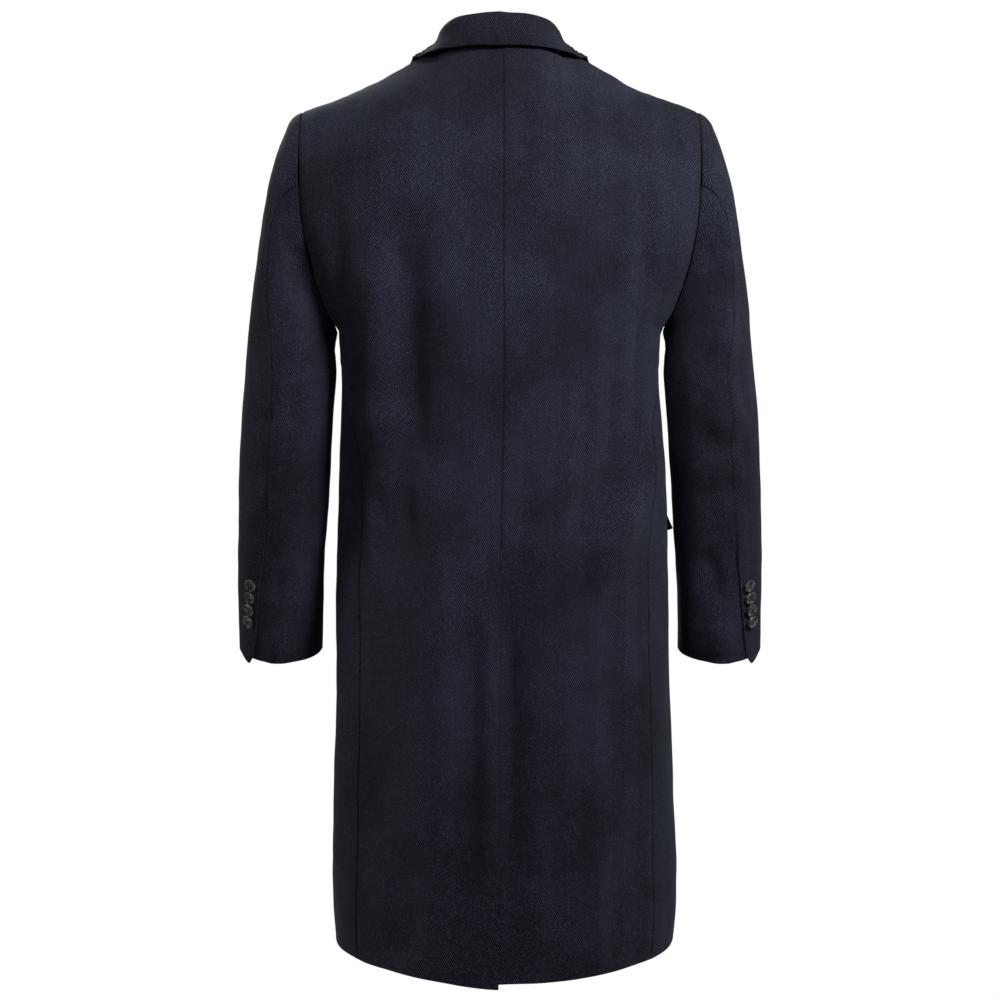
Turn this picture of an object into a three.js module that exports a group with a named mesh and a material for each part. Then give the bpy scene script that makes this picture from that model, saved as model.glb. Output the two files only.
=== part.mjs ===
// A knee-length single-breasted wool overcoat, hollow, standing as it does when worn.
// Millimetres, +Z up, the back of the coat towards +Y and the wearer's left towards +X.
// The origin is the middle of the neck opening, level with the two neck ends of the shoulder seams.
import * as THREE from 'three';

// Cloth and seams
const WALL = 2.0;            // melton-weight wool with its interlining
const SEAM_GAP = 0.3;        // between two pieces at a seam
const SEW_REACH = 0.6;       // edges this close to each other are sewn together
const AIR = 0.6;             // between two layers that lie on each other
const UNDER = WALL + AIR;    // how far a layer is pushed in to lie under another

// Grid of the panels
const ARMHOLE_STEPS = 12;    // rows from the shoulder seam to the underarm
const SKIRT_STEPS = 15;      // rows from the underarm to the hem
const BACK_COLUMNS = 15;
const NECK_COLUMNS = 5;      // of the back's columns, those that end on the neckline
const FRONT_COLUMNS = 16;
const TOP_COLUMNS = 13;      // of the top sleeve, the outer half
const UNDER_COLUMNS = 11;    // of the under sleeve
const DEGREE = Math.PI / 180;

// Neck, shoulder and armhole
const NAPE = { y: 62, z: -8 };
const NECK_POINT = vector(72, 4, 0);
const SHOULDER_POINT = vector(230.5, 0, -76);
const ARMHOLE = { width: 41.5, drop: 258, depth: 74, hook: 3.3 };
const SHOULDER_SEAM = [
  { x: 72, y: 4, z: 0 },
  { x: 104, y: 4, z: -19 },
  { x: 144.5, y: 3, z: -41 },
  { x: 182, y: 2, z: -58 },
  { x: 216, y: 1, z: -70 },
  { x: 230.5, y: 0, z: -76 },
];

// Body below the underarm. side: height at the side; half: half width; square: how far the section
// keeps straight at the side; seam: half distance between the side-back seams; sway: how far the
// sides stand off to +X
const UNDERARM = -334;
const HEM_SIDE = -1038;
const SKIRT = [
  { side: -334, half: 189.0, square: 0.80, seam: 189.0, backZ: -333, frontZ: -318, sway: 0 },
  { side: -365, half: 186.4, square: 0.74, seam: 186.0, backZ: -365, frontZ: -355, sway: 0 },
  { side: -400, half: 185.6, square: 0.68, seam: 182.0, backZ: -401, frontZ: -396, sway: -0.5 },
  { side: -450, half: 188.0, square: 0.63, seam: 170.5, backZ: -452, frontZ: -450, sway: -2 },
  { side: -500, half: 191.0, square: 0.60, seam: 165.0, backZ: -503, frontZ: -501, sway: -3 },
  { side: -600, half: 193, square: 0.60, seam: 165.0, backZ: -605, frontZ: -602, sway: -3 },
  { side: -700, half: 197.2, square: 0.60, seam: 165.5, backZ: -708, frontZ: -704, sway: -3 },
  { side: -800, half: 199.6, square: 0.60, seam: 166.5, backZ: -812, frontZ: -806, sway: -3.5 },
  { side: -900, half: 201.8, square: 0.60, seam: 167.5, backZ: -916, frontZ: -908, sway: -4 },
  { side: -1000, half: 200.0, square: 0.60, seam: 167.0, backZ: -1020, frontZ: -1010, sway: -5.5 },
  { side: -1038, half: 196.5, square: 0.60, seam: 165.0, backZ: -1060, frontZ: -1049, sway: -5 },
];

const SWAY_FULL = 165;       // from here out the body has the whole sway

// Shape of one section of the body. heading: of the cloth at the shoulder, turning on to 90 degrees at
// the underarm; reach and dip: handle at the armhole; shares of the width where the centre back and
// front are still flat; shares of the way to the side where a section has begun to rise; chest: fullness
const SECTION = {
  heading: 4, headingPower: 1.15,
  reachTop: 40, reachUnder: 79, reachSwell: 27, dip: 0.38,
  flatTop: 0.45, backFlat: 0.6, frontFlat: 0.58,
  backRise: 0.2, sideRise: 0.85, frontRise: 0.3,
  chest: 13,
};

// Profile of the centre back, x: where its seam wanders to
const BACK_LINE = [
  { z: -8, y: 62, x: -3 },
  { z: -35, y: 79, x: -3.5 },
  { z: -70, y: 96, x: -4 },
  { z: -110, y: 110, x: -4 },
  { z: -160, y: 121, x: -4 },
  { z: -220, y: 128, x: -4 },
  { z: -290, y: 131, x: -4.2 },
  { z: -380, y: 128, x: -4.4 },
  { z: -450, y: 126.5, x: -3.2 },
  { z: -520, y: 128, x: -2 },
  { z: -600, y: 134, x: -0.8 },
  { z: -700, y: 144, x: 1.2 },
  { z: -800, y: 153, x: 3 },
  { z: -900, y: 161, x: 2.2 },
  { z: -1060, y: 171, x: 1.6 },
];

// Edge of the left front: neckline, roll line down to the break, then the lap past the centre
const BREAK = -430;
const FRONT_LAP = 20;
const FRONT_FLAT = 26;       // the lap is flat from here to the edge
const FRONT_EDGE = [
  { z: 0, x: 72, y: 4 },
  { z: -8, x: 70, y: -17 },
  { z: -21, x: 66, y: -38 },
  { z: -60, x: 57, y: -69 },
  { z: -140, x: 45, y: -100 },
  { z: -227, x: 30, y: -121 },
  { z: -318, x: 12, y: -137 },
  { z: -400, x: -10, y: -145.5 },
  { z: BREAK, x: -FRONT_LAP, y: -147.5 },
  { z: -520, x: -FRONT_LAP, y: -149 },
  { z: -600, x: -FRONT_LAP, y: -151 },
  { z: -800, x: -FRONT_LAP, y: -158 },
  { z: -1060, x: -FRONT_LAP, y: -167 },
];

// How far the right front is pushed in under the left one, by height
const FRONT_TUCK = [
  { z: -280, push: 0 },
  { z: -340, push: 2 * UNDER + 2 * AIR },
  { z: -450, push: 2 * UNDER + 2 * AIR },
  { z: -530, push: UNDER },
  { z: -1060, push: UNDER },
];

// Centre vent, open from this step of the skirt down: the left back lies over the right one's underlap
const VENT = { step: 6, underlap: 42, soften: 50, push: WALL + 2 * AIR };

// Sleeve rings from the armhole to the cuff. outX to inZ: the outer and the inner side; midY and
// deep: centre and half depth; hook: how the ring bends over the shoulder; tilt: how far the back of
// the ring hangs below its sides; hind: angle of the seam at the elbow side
const SLEEVE = [
  { ring: 0, outX: 230.5, outZ: -76, inX: 189.0, inZ: -334,
    midY: 0, deep: 74, hook: 3.3, tilt: 0, hind: 75 },
  { ring: 1, outX: 243, outZ: -87, inX: 189.7, inZ: -337,
    midY: 0, deep: 75, hook: 3.1, tilt: 0, hind: 74 },
  { ring: 2, outX: 253.5, outZ: -108, inX: 190.1, inZ: -341,
    midY: 0, deep: 75.5, hook: 2.8, tilt: 0, hind: 73 },
  { ring: 3, outX: 264, outZ: -140, inX: 190.3, inZ: -345,
    midY: 1, deep: 76, hook: 2.4, tilt: 0, hind: 72 },
  { ring: 4, outX: 271.5, outZ: -180, inX: 190.3, inZ: -350,
    midY: 2, deep: 76, hook: 2.0, tilt: 0, hind: 71 },
  { ring: 5, outX: 278.5, outZ: -225, inX: 190.1, inZ: -357,
    midY: 4, deep: 75, hook: 1.65, tilt: 0, hind: 71 },
  { ring: 6, outX: 286, outZ: -280, inX: 189.8, inZ: -366,
    midY: 5, deep: 73, hook: 1.35, tilt: 0, hind: 71 },
  { ring: 7, outX: 292.5, outZ: -330, inX: 189.6, inZ: -379,
    midY: 5, deep: 71, hook: 1.12, tilt: 1, hind: 72 },
  { ring: 8, outX: 297, outZ: -385, inX: 192.3, inZ: -406,
    midY: 4, deep: 68, hook: 1, tilt: 2, hind: 73 },
  { ring: 9, outX: 302, outZ: -440, inX: 196.0, inZ: -445,
    midY: 1, deep: 64.5, hook: 1, tilt: 4, hind: 74 },
  { ring: 10, outX: 305.3, outZ: -495, inX: 199.2, inZ: -495,
    midY: -7, deep: 61, hook: 1, tilt: 7, hind: 73 },
  { ring: 11, outX: 307, outZ: -550, inX: 203, inZ: -548,
    midY: -17, deep: 57.5, hook: 1, tilt: 9, hind: 71 },
  { ring: 12, outX: 309.5, outZ: -597, inX: 207.3, inZ: -594,
    midY: -26, deep: 54, hook: 1, tilt: 11, hind: 69 },
  { ring: 13, outX: 310, outZ: -636, inX: 209.3, inZ: -632,
    midY: -33, deep: 51.5, hook: 1, tilt: 13, hind: 64 },
  { ring: 14, outX: 309.4, outZ: -672, inX: 210.6, inZ: -671,
    midY: -39, deep: 49.5, hook: 1, tilt: 14, hind: 58 },
  { ring: 15, outX: 309.6, outZ: -704, inX: 212, inZ: -706,
    midY: -45, deep: 47.5, hook: 1, tilt: 16, hind: 51 },
];
const FOREARM_SEAM = 240;    // angle of the seam at the front, the same all the way down
const CUFF_VENT = { top: 12, slope: 0.6, underlap: 16, soften: 26 };   // in rings and degrees

// Collar from the centre back round to the gorge: roll line and outer edge of the fall
const COLLAR = [
  { at: 0.0, rollX: 0, rollY: 61, rollZ: 30, edgeX: 0, edgeY: 74, edgeZ: -12.5 },
  { at: 0.12, rollX: 24, rollY: 58, rollZ: 28, edgeX: 25, edgeY: 72.5, edgeZ: -12 },
  { at: 0.24, rollX: 44, rollY: 49, rollZ: 26, edgeX: 52, edgeY: 66, edgeZ: -13 },
  { at: 0.35, rollX: 55.5, rollY: 37, rollZ: 24, edgeX: 75, edgeY: 55, edgeZ: -13 },
  { at: 0.44, rollX: 62.5, rollY: 24, rollZ: 21, edgeX: 88, edgeY: 43, edgeZ: -12.5 },
  { at: 0.53, rollX: 66.5, rollY: 10, rollZ: 17.5, edgeX: 98, edgeY: 25, edgeZ: -14.5 },
  { at: 0.62, rollX: 68, rollY: -6, rollZ: 12, edgeX: 104, edgeY: 4, edgeZ: -17 },
  { at: 0.71, rollX: 68, rollY: -22, rollZ: 3, edgeX: 108, edgeY: -18, edgeZ: -27 },
  { at: 0.8, rollX: 66, rollY: -40, rollZ: -12, edgeX: 109, edgeY: -42, edgeZ: -46 },
  { at: 0.9, rollX: 61, rollY: -58, rollZ: -33, edgeX: 107, edgeY: -65, edgeZ: -72 },
  { at: 1.0, rollX: 57.5, rollY: -71, rollZ: -53, edgeX: 101, edgeY: -84, edgeZ: -96 },
];
const COLLAR_COLUMNS = 24;
const COLLAR_SHOULDER = 0.56;   // the shoulder seam's place along the collar
const GORGE_STEPS = 3;          // body rows from the shoulder seam down to the collar's end
const STAND_TOP = 3.0;       // the stand ends this far below the roll, and further at the front
const STAND_TOP_FRONT = 6.0;
const STAND_INSIDE = 0.8;    // and this far inside it
const STAND_ROWS = 3;
// Turn of the fall over the stand: out from the roll line and down from it
const COLLAR_TURN = [
  { out: -2.2, down: 0.9 },
  { out: 0.4, down: 0 },
  { out: 3.4, down: 1.6 },
  { out: 5.4, down: 6.0 },
];
const FALL_STEPS = 4;
const FALL_BELLY = 3.5;
const FALL_CLEAR = UNDER + 3 * AIR;   // least height of the fall over the body
const BODY_SAMPLES = { rows: 28, columns: 36, down: 0.6, across: 0.8 };

// Lapel, by rows down the roll line. row: on the body's rows; wide: from the roll line out
const LAPEL = [
  { row: 0.285, wide: 66, skew: 0.150 },
  { row: 0.36, wide: 84, skew: 0.105 },
  { row: 0.45, wide: 88, skew: 0.06 },
  { row: 0.60, wide: 82, skew: 0.03 },
  { row: 0.80, wide: 68, skew: 0.01 },
  { row: 1.00, wide: 48, skew: 0 },
  { row: 1.08, wide: 28, skew: 0 },
  { row: 1.14, wide: 9, skew: 0 },
];
const LAPEL_ROWS = 12;
const LAPEL_COLUMNS = 4;
const LAPEL_ROLL = { lift: 2.6, reach: 16 };

// Pocket flap, laid on the front just ahead of the side
const FLAP = {
  top: -507, drop: 60, start: 40, length: 155, corner: 9, lift: 0.8, strayLeft: 0.8, strayRight: 9,
};
const FLAP_COLUMNS = 8;
const FLAP_ROWS = 4;

// Buttons. The cuff ones overlap like tiles, each tilted over the next
const CUFF_BUTTON = {
  radius: 7.5, thick: 2.4, count: 4, pitch: 14, tilt: 13, ring: 12.56, ringLength: 37, ahead: 12,
};
const FRONT_BUTTON = { radius: 13.5, thick: 3.6, count: 3, top: -448, pitch: 118 };
const BUTTON_SIDES = 10;

// Largest folds of the back and sleeves as seen from behind: a soft trough (depth below zero)
// or ridge from one point to another, bowed sideways by bow
const FOLDS = [
  { x0: 134, z0: -190, x1: 137, z1: -455, bow: 6, width: 30, depth: 6 },
  { x0: 100, z0: -205, x1: 86, z1: -505, bow: -8, width: 22, depth: -8 },
  { x0: 176, z0: -400, x1: 104, z1: -512, bow: -14, width: 22, depth: -7 },
  { x0: 170, z0: -190, x1: 168, z1: -310, bow: 0, width: 13, depth: -3 },
  { x0: -162, z0: -185, x1: -160, z1: -290, bow: 0, width: 15, depth: -3.5 },
  { x0: -170, z0: -405, x1: -78, z1: -570, bow: 12, width: 26, depth: -8 },
  { x0: 23, z0: -650, x1: 24, z1: -1000, bow: 3, width: 18, depth: -4 },
  { x0: -17, z0: -640, x1: -40, z1: -960, bow: -4, width: 15, depth: -5 },
  { x0: 142, z0: -590, x1: 132, z1: -800, bow: 4, width: 34, depth: -4 },
  { x0: 84, z0: -900, x1: 80, z1: -1075, bow: 0, width: 38, depth: -5 },
  { x0: -100, z0: -900, x1: -106, z1: -1075, bow: 0, width: 34, depth: -4 },
  { x0: 300, z0: -560, x1: 214, z1: -470, bow: -6, width: 14, depth: -4 },
  { x0: -242, z0: -222, x1: -276, z1: -240, bow: 6, width: 14, depth: -5 },
  { x0: -216, z0: -446, x1: -284, z1: -450, bow: 8, width: 13, depth: -4 },
];

// Colours and finishes
const CLOTH = new THREE.MeshStandardMaterial({ color: 0x20222c, roughness: 0.95, metalness: 0 });
const UNDERCLOTH = new THREE.MeshStandardMaterial({ color: 0x1b1c26, roughness: 0.95, metalness: 0 });
const HORN = new THREE.MeshStandardMaterial({ color: 0x2b2a2b, roughness: 0.35, metalness: 0 });

function vector(x, y, z) {
  return new THREE.Vector3(x, y, z);
}

function mix(a, b, t) {
  return a + (b - a) * t;
}

// Goes smoothly from 0 at low to 1 at high, whichever way round they are
function ease(value, low, high) {
  const t = THREE.MathUtils.clamp((value - low) / (high - low), 0, 1);
  return t * t * (3 - 2 * t);
}

// Reads one column of a table between its rows, on a curve that never overshoots them
function read(rows, key, column, at) {
  const last = rows.length - 1;
  const rising = rows[last][key] > rows[0][key];
  let i = 0;
  while (i < last - 1 && (rising ? at > rows[i + 1][key] : at < rows[i + 1][key])) i += 1;
  const slope = (k) => (rows[k + 1][column] - rows[k][column]) / (rows[k + 1][key] - rows[k][key]);
  const tangent = (k) => {
    if (k === 0) return slope(0);
    if (k === last) return slope(last - 1);
    const before = slope(k - 1);
    const after = slope(k);
    return before * after <= 0 ? 0 : (2 * before * after) / (before + after);
  };
  const span = rows[i + 1][key] - rows[i][key];
  const t = THREE.MathUtils.clamp((at - rows[i][key]) / span, 0, 1);
  const t2 = t * t;
  const t3 = t2 * t;
  return (2 * t3 - 3 * t2 + 1) * rows[i][column] + (t3 - 2 * t2 + t) * span * tangent(i)
    + (3 * t2 - 2 * t3) * rows[i + 1][column] + (t3 - t2) * span * tangent(i + 1);
}

// Shoulder seam by its own length, from the neck to the shoulder point
const shoulderSeam = new THREE.CatmullRomCurve3(SHOULDER_SEAM.map((p) => vector(p.x, p.y, p.z)));
const neckline = new THREE.CubicBezierCurve3(
  vector(0, NAPE.y, NAPE.z), vector(36, NAPE.y, NAPE.z), vector(66, 34, -3), NECK_POINT.clone());

// Point of the armhole at an angle from the shoulder, 180 at the underarm, front or back
function armhole(angle, front) {
  const s = (1 - Math.cos(angle * DEGREE)) / 2;
  const y = ARMHOLE.depth * Math.sin(angle * DEGREE);
  return vector(
    SHOULDER_POINT.x - ARMHOLE.width * s ** ARMHOLE.hook,
    front ? -y : y,
    SHOULDER_POINT.z - ARMHOLE.drop * s);
}

function frontEdge(z) {
  return vector(read(FRONT_EDGE, 'z', 'x', z), read(FRONT_EDGE, 'z', 'y', z), z);
}

// Heading of the cloth as it reaches the armhole, turned from +X towards the front
function armholeHeading(angle) {
  return mix(SECTION.heading, 90, (angle / 180) ** SECTION.headingPower) * DEGREE;
}

// Back and front curve of one body row above the underarm. share: 0 shoulder, 1 underarm
function armholeRow(share) {
  const angle = 180 * share;
  const turn = armholeHeading(angle);
  const reach = mix(SECTION.reachTop, SECTION.reachUnder, share) + SECTION.reachSwell * share ** 4;
  const dip = -SECTION.dip * (1 - share) ** 2 * reach;
  const backEnd = armhole(angle, false);
  const frontStart = armhole(angle, true);
  const backZ = mix(NAPE.z, SKIRT[0].backZ, share);
  const centre = vector(0, read(BACK_LINE, 'z', 'y', backZ), backZ);
  const inner = mix(SECTION.flatTop, SECTION.backFlat, share) * backEnd.x;
  const back = new THREE.CubicBezierCurve3(
    centre,
    vector(inner, centre.y, mix(backZ, backEnd.z, SECTION.backRise)),
    backEnd.clone().sub(vector(Math.cos(turn) * reach, -Math.sin(turn) * reach, dip)),
    backEnd);
  const edge = frontEdge(SKIRT[0].frontZ * share ** SECTION.headingPower);
  const lift = SECTION.chest * Math.sin(Math.PI * share);
  const flat = vector(Math.max(edge.x, FRONT_FLAT), edge.y, edge.z);
  const handle = mix(SECTION.flatTop, SECTION.frontFlat, share) * (frontStart.x - flat.x);
  const front = new THREE.CubicBezierCurve3(
    frontStart,
    frontStart.clone().add(vector(-Math.cos(turn) * reach, -Math.sin(turn) * reach, -dip)),
    vector(flat.x + handle, edge.y - lift, mix(edge.z, frontStart.z, SECTION.backRise)),
    flat);
  return { back, front, lap: new THREE.LineCurve3(flat, edge) };
}

// The same below the underarm, meeting at the side
function skirtRow(side) {
  const half = read(SKIRT, 'side', 'half', side);
  const backZ = read(SKIRT, 'side', 'backZ', side);
  const backY = read(BACK_LINE, 'z', 'y', backZ);
  const edge = frontEdge(read(SKIRT, 'side', 'frontZ', side));
  const square = read(SKIRT, 'side', 'square', side);
  const sidePoint = vector(half, 0, side);
  const back = new THREE.CubicBezierCurve3(
    vector(0, backY, backZ),
    vector(SECTION.backFlat * half, backY, mix(backZ, side, SECTION.backRise)),
    vector(half, square * backY, mix(backZ, side, SECTION.sideRise)),
    sidePoint);
  const flat = vector(Math.max(edge.x, FRONT_FLAT), edge.y, edge.z);
  const front = new THREE.CubicBezierCurve3(
    sidePoint,
    vector(half, square * edge.y, mix(side, edge.z, SECTION.frontRise)),
    vector(flat.x + SECTION.frontFlat * (half - flat.x), edge.y, edge.z),
    flat);
  return { back, front, lap: new THREE.LineCurve3(flat, edge) };
}

// Body rows run from 0 at the shoulder through 1 at the underarm to 2 at the hem
function sideHeight(row) {
  return mix(UNDERARM, HEM_SIDE, row - 1);
}

const rowCache = new Map();
function bodyRow(row) {
  if (!rowCache.has(row)) {
    rowCache.set(row, row <= 1 ? armholeRow(row) : skirtRow(sideHeight(row)));
  }
  return rowCache.get(row);
}

// Share of the back curve's length where the side-back seam crosses it
const seamCache = new Map();
function seamShare(row) {
  if (row <= 1) return 1;
  if (!seamCache.has(row)) {
    const { back } = bodyRow(row);
    const target = read(SKIRT, 'side', 'seam', sideHeight(row));
    let low = 0;
    let high = 1;
    for (let i = 0; i < 24; i += 1) {
      const middle = (low + high) / 2;
      if (back.getPointAt(middle).x < target) low = middle;
      else high = middle;
    }
    seamCache.set(row, low);
  }
  return seamCache.get(row);
}

// The top edge of the back and front, which the rows near the shoulder lean towards
function backTop(u) {
  const neckShare = NECK_COLUMNS / BACK_COLUMNS;
  if (u <= neckShare) return neckline.getPointAt(u / neckShare);
  return shoulderSeam.getPointAt((u - neckShare) / (1 - neckShare));
}

function topPull(row) {
  return row < 0.5 ? (1 - row / 0.5) ** 2 : 0;
}

// Point of the back, u from the centre to the armhole or side-back seam, on the wearer's left
function backPoint(row, u, lapShare = 0) {
  const { back } = bodyRow(row);
  const at = mix(-lapShare, seamShare(row), u);
  const point = back.getPointAt(Math.abs(at));
  if (at < 0) point.x = -point.x;
  const pull = topPull(row);
  if (pull > 0) point.addScaledVector(backTop(u).sub(bodyRow(0).back.getPointAt(u)), pull);
  return point;
}

// Curves and lengths of one row of the front: what it takes of the back curve, then the front
// curve to the flat lap, then the lap
function frontPath(row) {
  const { back, front, lap } = bodyRow(row);
  const seam = seamShare(row);
  const before = row <= 1 ? 0 : (1 - seam) * back.getLength();
  const round = front.getLength();
  return { back, front, lap, seam, before, round, length: before + round + lap.getLength() };
}

// Point of the front by its distance from the side or armhole, forward
function frontPoint(row, distance) {
  const { back, front, lap, seam, before, round, length } = frontPath(row);
  if (distance < before) return back.getPointAt(mix(seam, 1, distance / before));
  if (distance > before + round) {
    return lap.getPointAt(Math.min((distance - before - round) / (length - before - round), 1));
  }
  const share = THREE.MathUtils.clamp((distance - before) / round, 0, 1);
  const point = front.getPointAt(share);
  const pull = topPull(row);
  if (pull > 0) {
    const top = shoulderSeam.getPointAt(1 - share);
    point.addScaledVector(top.sub(bodyRow(0).front.getPointAt(share)), pull);
  }
  return point;
}

// The body stands a little to one side, and its centre seam wanders
function settle(point) {
  const out = Math.min(Math.abs(point.x) / SWAY_FULL, 1);
  const sway = point.z < UNDERARM ? read(SKIRT, 'side', 'sway', point.z) : 0;
  const wander = read(BACK_LINE, 'z', 'x', point.z) * ease(point.y, 0, 60);
  point.x += mix(wander, sway, out);
  return point;
}

// Point of a sleeve, ring from 0 at the armhole to 15 at the cuff, on the wearer's left
function sleevePoint(ring, angle) {
  const of = (column) => read(SLEEVE, 'ring', column, ring);
  const s = (1 - Math.cos(angle * DEGREE)) / 2;
  const round = Math.sin(angle * DEGREE);
  return vector(
    mix(of('outX'), of('inX'), s ** of('hook')),
    of('midY') + of('deep') * round,
    mix(of('outZ'), of('inZ'), s) - of('tilt') * Math.max(round, 0));
}

function makeGrid(rows, columns, place) {
  const grid = [];
  for (let i = 0; i <= rows; i += 1) {
    const line = [];
    for (let j = 0; j <= columns; j += 1) line.push(place(i / rows, j / columns));
    grid.push(line);
  }
  return grid;
}

// Normals of a grid; turn is 1 or -1, so that they point out of the coat
function gridNormals(grid, turn) {
  const rows = grid.length - 1;
  const columns = grid[0].length - 1;
  return grid.map((line, i) => line.map((point, j) => {
    const down = grid[Math.min(i + 1, rows)][j].clone().sub(grid[Math.max(i - 1, 0)][j]);
    const along = line[Math.min(j + 1, columns)].clone().sub(line[Math.max(j - 1, 0)]);
    return down.cross(along).multiplyScalar(turn).normalize();
  }));
}

function edgePlaces(grid) {
  const rows = grid.length - 1;
  const columns = grid[0].length - 1;
  const places = [];
  for (let i = 0; i <= rows; i += 1) {
    for (let j = 0; j <= columns; j += 1) {
      if (i === 0 || j === 0 || i === rows || j === columns) places.push([i, j]);
    }
  }
  return places;
}

// The four edges of a grid as lines of places
function edgeLines(grid) {
  const rows = grid.length - 1;
  const columns = grid[0].length - 1;
  const across = (i) => Array.from({ length: columns + 1 }, (_, j) => [i, j]);
  const down = (j) => Array.from({ length: rows + 1 }, (_, i) => [i, j]);
  return [across(0), across(rows), down(0), down(columns)];
}

// Own normal of a piece where its edge passes a point, or null where it doesn't
function nearestEdgeNormal(piece, point) {
  const line = new THREE.Line3();
  const foot = new THREE.Vector3();
  for (const places of piece.edgeLines) {
    for (let k = 0; k + 1 < places.length; k += 1) {
      const [from, to] = [places[k], places[k + 1]];
      line.set(piece.grid[from[0]][from[1]], piece.grid[to[0]][to[1]]);
      const t = line.closestPointToPointParameter(point, true);
      if (line.at(t, foot).distanceTo(point) < SEW_REACH) {
        const own = piece.ownNormals;
        return own[from[0]][from[1]].clone().lerp(own[to[0]][to[1]], t).normalize();
      }
    }
  }
  return null;
}

// Where two pieces meet at a seam, both take the mean of their normals
function shareNormals(pieces) {
  for (const piece of pieces) {
    piece.edgeLines = edgeLines(piece.grid);
    piece.ownNormals = piece.normals.map((line) => line.map((normal) => normal.clone()));
  }
  const edges = pieces.flatMap((piece) => edgePlaces(piece.grid).map(([i, j]) => (
    { piece, i, j, point: piece.grid[i][j], normal: piece.normals[i][j].clone() })));
  for (const edge of edges) {
    const sum = edge.normal.clone();
    for (const other of pieces) {
      if (other === edge.piece) continue;
      const normal = nearestEdgeNormal(other, edge.point);
      if (normal && normal.dot(edge.normal) > 0) sum.add(normal);
    }
    edge.piece.normals[edge.i][edge.j].copy(sum.normalize());
  }
}

// Sum of the folds at a point that faces the back
function foldDepth(point, normal) {
  const facing = ease(normal.y, 0.1, 0.5);
  if (facing === 0) return 0;
  let sum = 0;
  for (const fold of FOLDS) {
    const dx = fold.x1 - fold.x0;
    const dz = fold.z1 - fold.z0;
    const length = Math.hypot(dx, dz);
    const along = ((point.x - fold.x0) * dx + (point.z - fold.z0) * dz) / length ** 2;
    const t = THREE.MathUtils.clamp(along, 0, 1);
    const across = ((point.x - fold.x0) * dz - (point.z - fold.z0) * dx) / length
      - fold.bow * 4 * t * (1 - t);
    const past = (along - t) * length;
    const ends = ease(t, -0.02, 0.3) * ease(t, 1.02, 0.7);
    sum += fold.depth * ends * Math.exp(-(across ** 2 + past ** 2) / fold.width ** 2);
  }
  return sum * facing;
}

// Leaves half the seam gap along every edge of the grid
function trimEdges(grid) {
  const rows = grid.length - 1;
  const columns = grid[0].length - 1;
  const moved = grid.map((line) => line.map((point) => point.clone()));
  for (const [i, j] of edgePlaces(grid)) {
    const inward = vector(0, 0, 0);
    if (i === 0) inward.add(grid[1][j].clone().sub(grid[0][j]).normalize());
    if (i === rows) inward.add(grid[rows - 1][j].clone().sub(grid[rows][j]).normalize());
    if (j === 0) inward.add(grid[i][1].clone().sub(grid[i][0]).normalize());
    if (j === columns) inward.add(grid[i][columns - 1].clone().sub(grid[i][columns]).normalize());
    moved[i][j].addScaledVector(inward, SEAM_GAP / 2);
  }
  return moved;
}

// Closes a grid into a wall: outer face, inner face and the rim between them
function wallGeometry(grid, normals, turn, thick = WALL) {
  const rows = grid.length - 1;
  const columns = grid[0].length - 1;
  const outer = trimEdges(grid);
  const corners = [];
  for (const line of outer) for (const p of line) corners.push(p.x, p.y, p.z);
  outer.forEach((line, i) => line.forEach((p, j) => {
    const inner = p.clone().addScaledVector(normals[i][j], -thick);
    corners.push(inner.x, inner.y, inner.z);
  }));
  const layer = (rows + 1) * (columns + 1);
  const at = (i, j, inside) => i * (columns + 1) + j + (inside ? layer : 0);
  const faces = [];
  const quad = (a, b, c, d) => {
    const order = turn > 0 ? [a, b, c, a, c, d] : [a, c, b, a, d, c];
    faces.push(...order);
  };
  for (let i = 0; i < rows; i += 1) {
    for (let j = 0; j < columns; j += 1) {
      quad(at(i, j), at(i + 1, j), at(i + 1, j + 1), at(i, j + 1));
      quad(at(i, j, 1), at(i, j + 1, 1), at(i + 1, j + 1, 1), at(i + 1, j, 1));
    }
  }
  for (let j = 0; j < columns; j += 1) {
    quad(at(0, j), at(0, j + 1), at(0, j + 1, 1), at(0, j, 1));
    quad(at(rows, j), at(rows, j, 1), at(rows, j + 1, 1), at(rows, j + 1));
  }
  for (let i = 0; i < rows; i += 1) {
    quad(at(i, 0), at(i, 0, 1), at(i + 1, 0, 1), at(i + 1, 0));
    quad(at(i, columns), at(i + 1, columns), at(i + 1, columns, 1), at(i, columns, 1));
  }
  const geometry = new THREE.BufferGeometry();
  geometry.setAttribute('position', new THREE.Float32BufferAttribute(corners, 3));
  geometry.setIndex(faces);
  geometry.computeVertexNormals();
  return geometry;
}

// Mirrors a point to the wearer's right when side is -1
function toSide(point, side) {
  point.x *= side;
  return point;
}

const TOTAL_ROWS = ARMHOLE_STEPS + SKIRT_STEPS;
function rowAt(share) {
  const step = share * TOTAL_ROWS;
  return step <= ARMHOLE_STEPS ? step / ARMHOLE_STEPS : 1 + (step - ARMHOLE_STEPS) / SKIRT_STEPS;
}

// Half of the back. The right one carries the vent's underlap
function backPanel(side) {
  const right = side < 0;
  const skirtStep = (row) => (row - 1) * SKIRT_STEPS;
  const underlap = (row) => {
    if (!right || row <= 1) return 0;
    const open = ease(skirtStep(row), VENT.step, VENT.step + 1);
    return (open * VENT.underlap) / bodyRow(row).back.getLength();
  };
  return makeGrid(TOTAL_ROWS, BACK_COLUMNS, (v, u) => {
    const row = rowAt(v);
    const point = backPoint(row, u, underlap(row));
    if (right) {
      const push = VENT.push * ease(skirtStep(row), VENT.step - 1, VENT.step);
      point.y -= push * ease(point.x, VENT.soften, 4);
    }
    return settle(toSide(point, side));
  });
}

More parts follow.
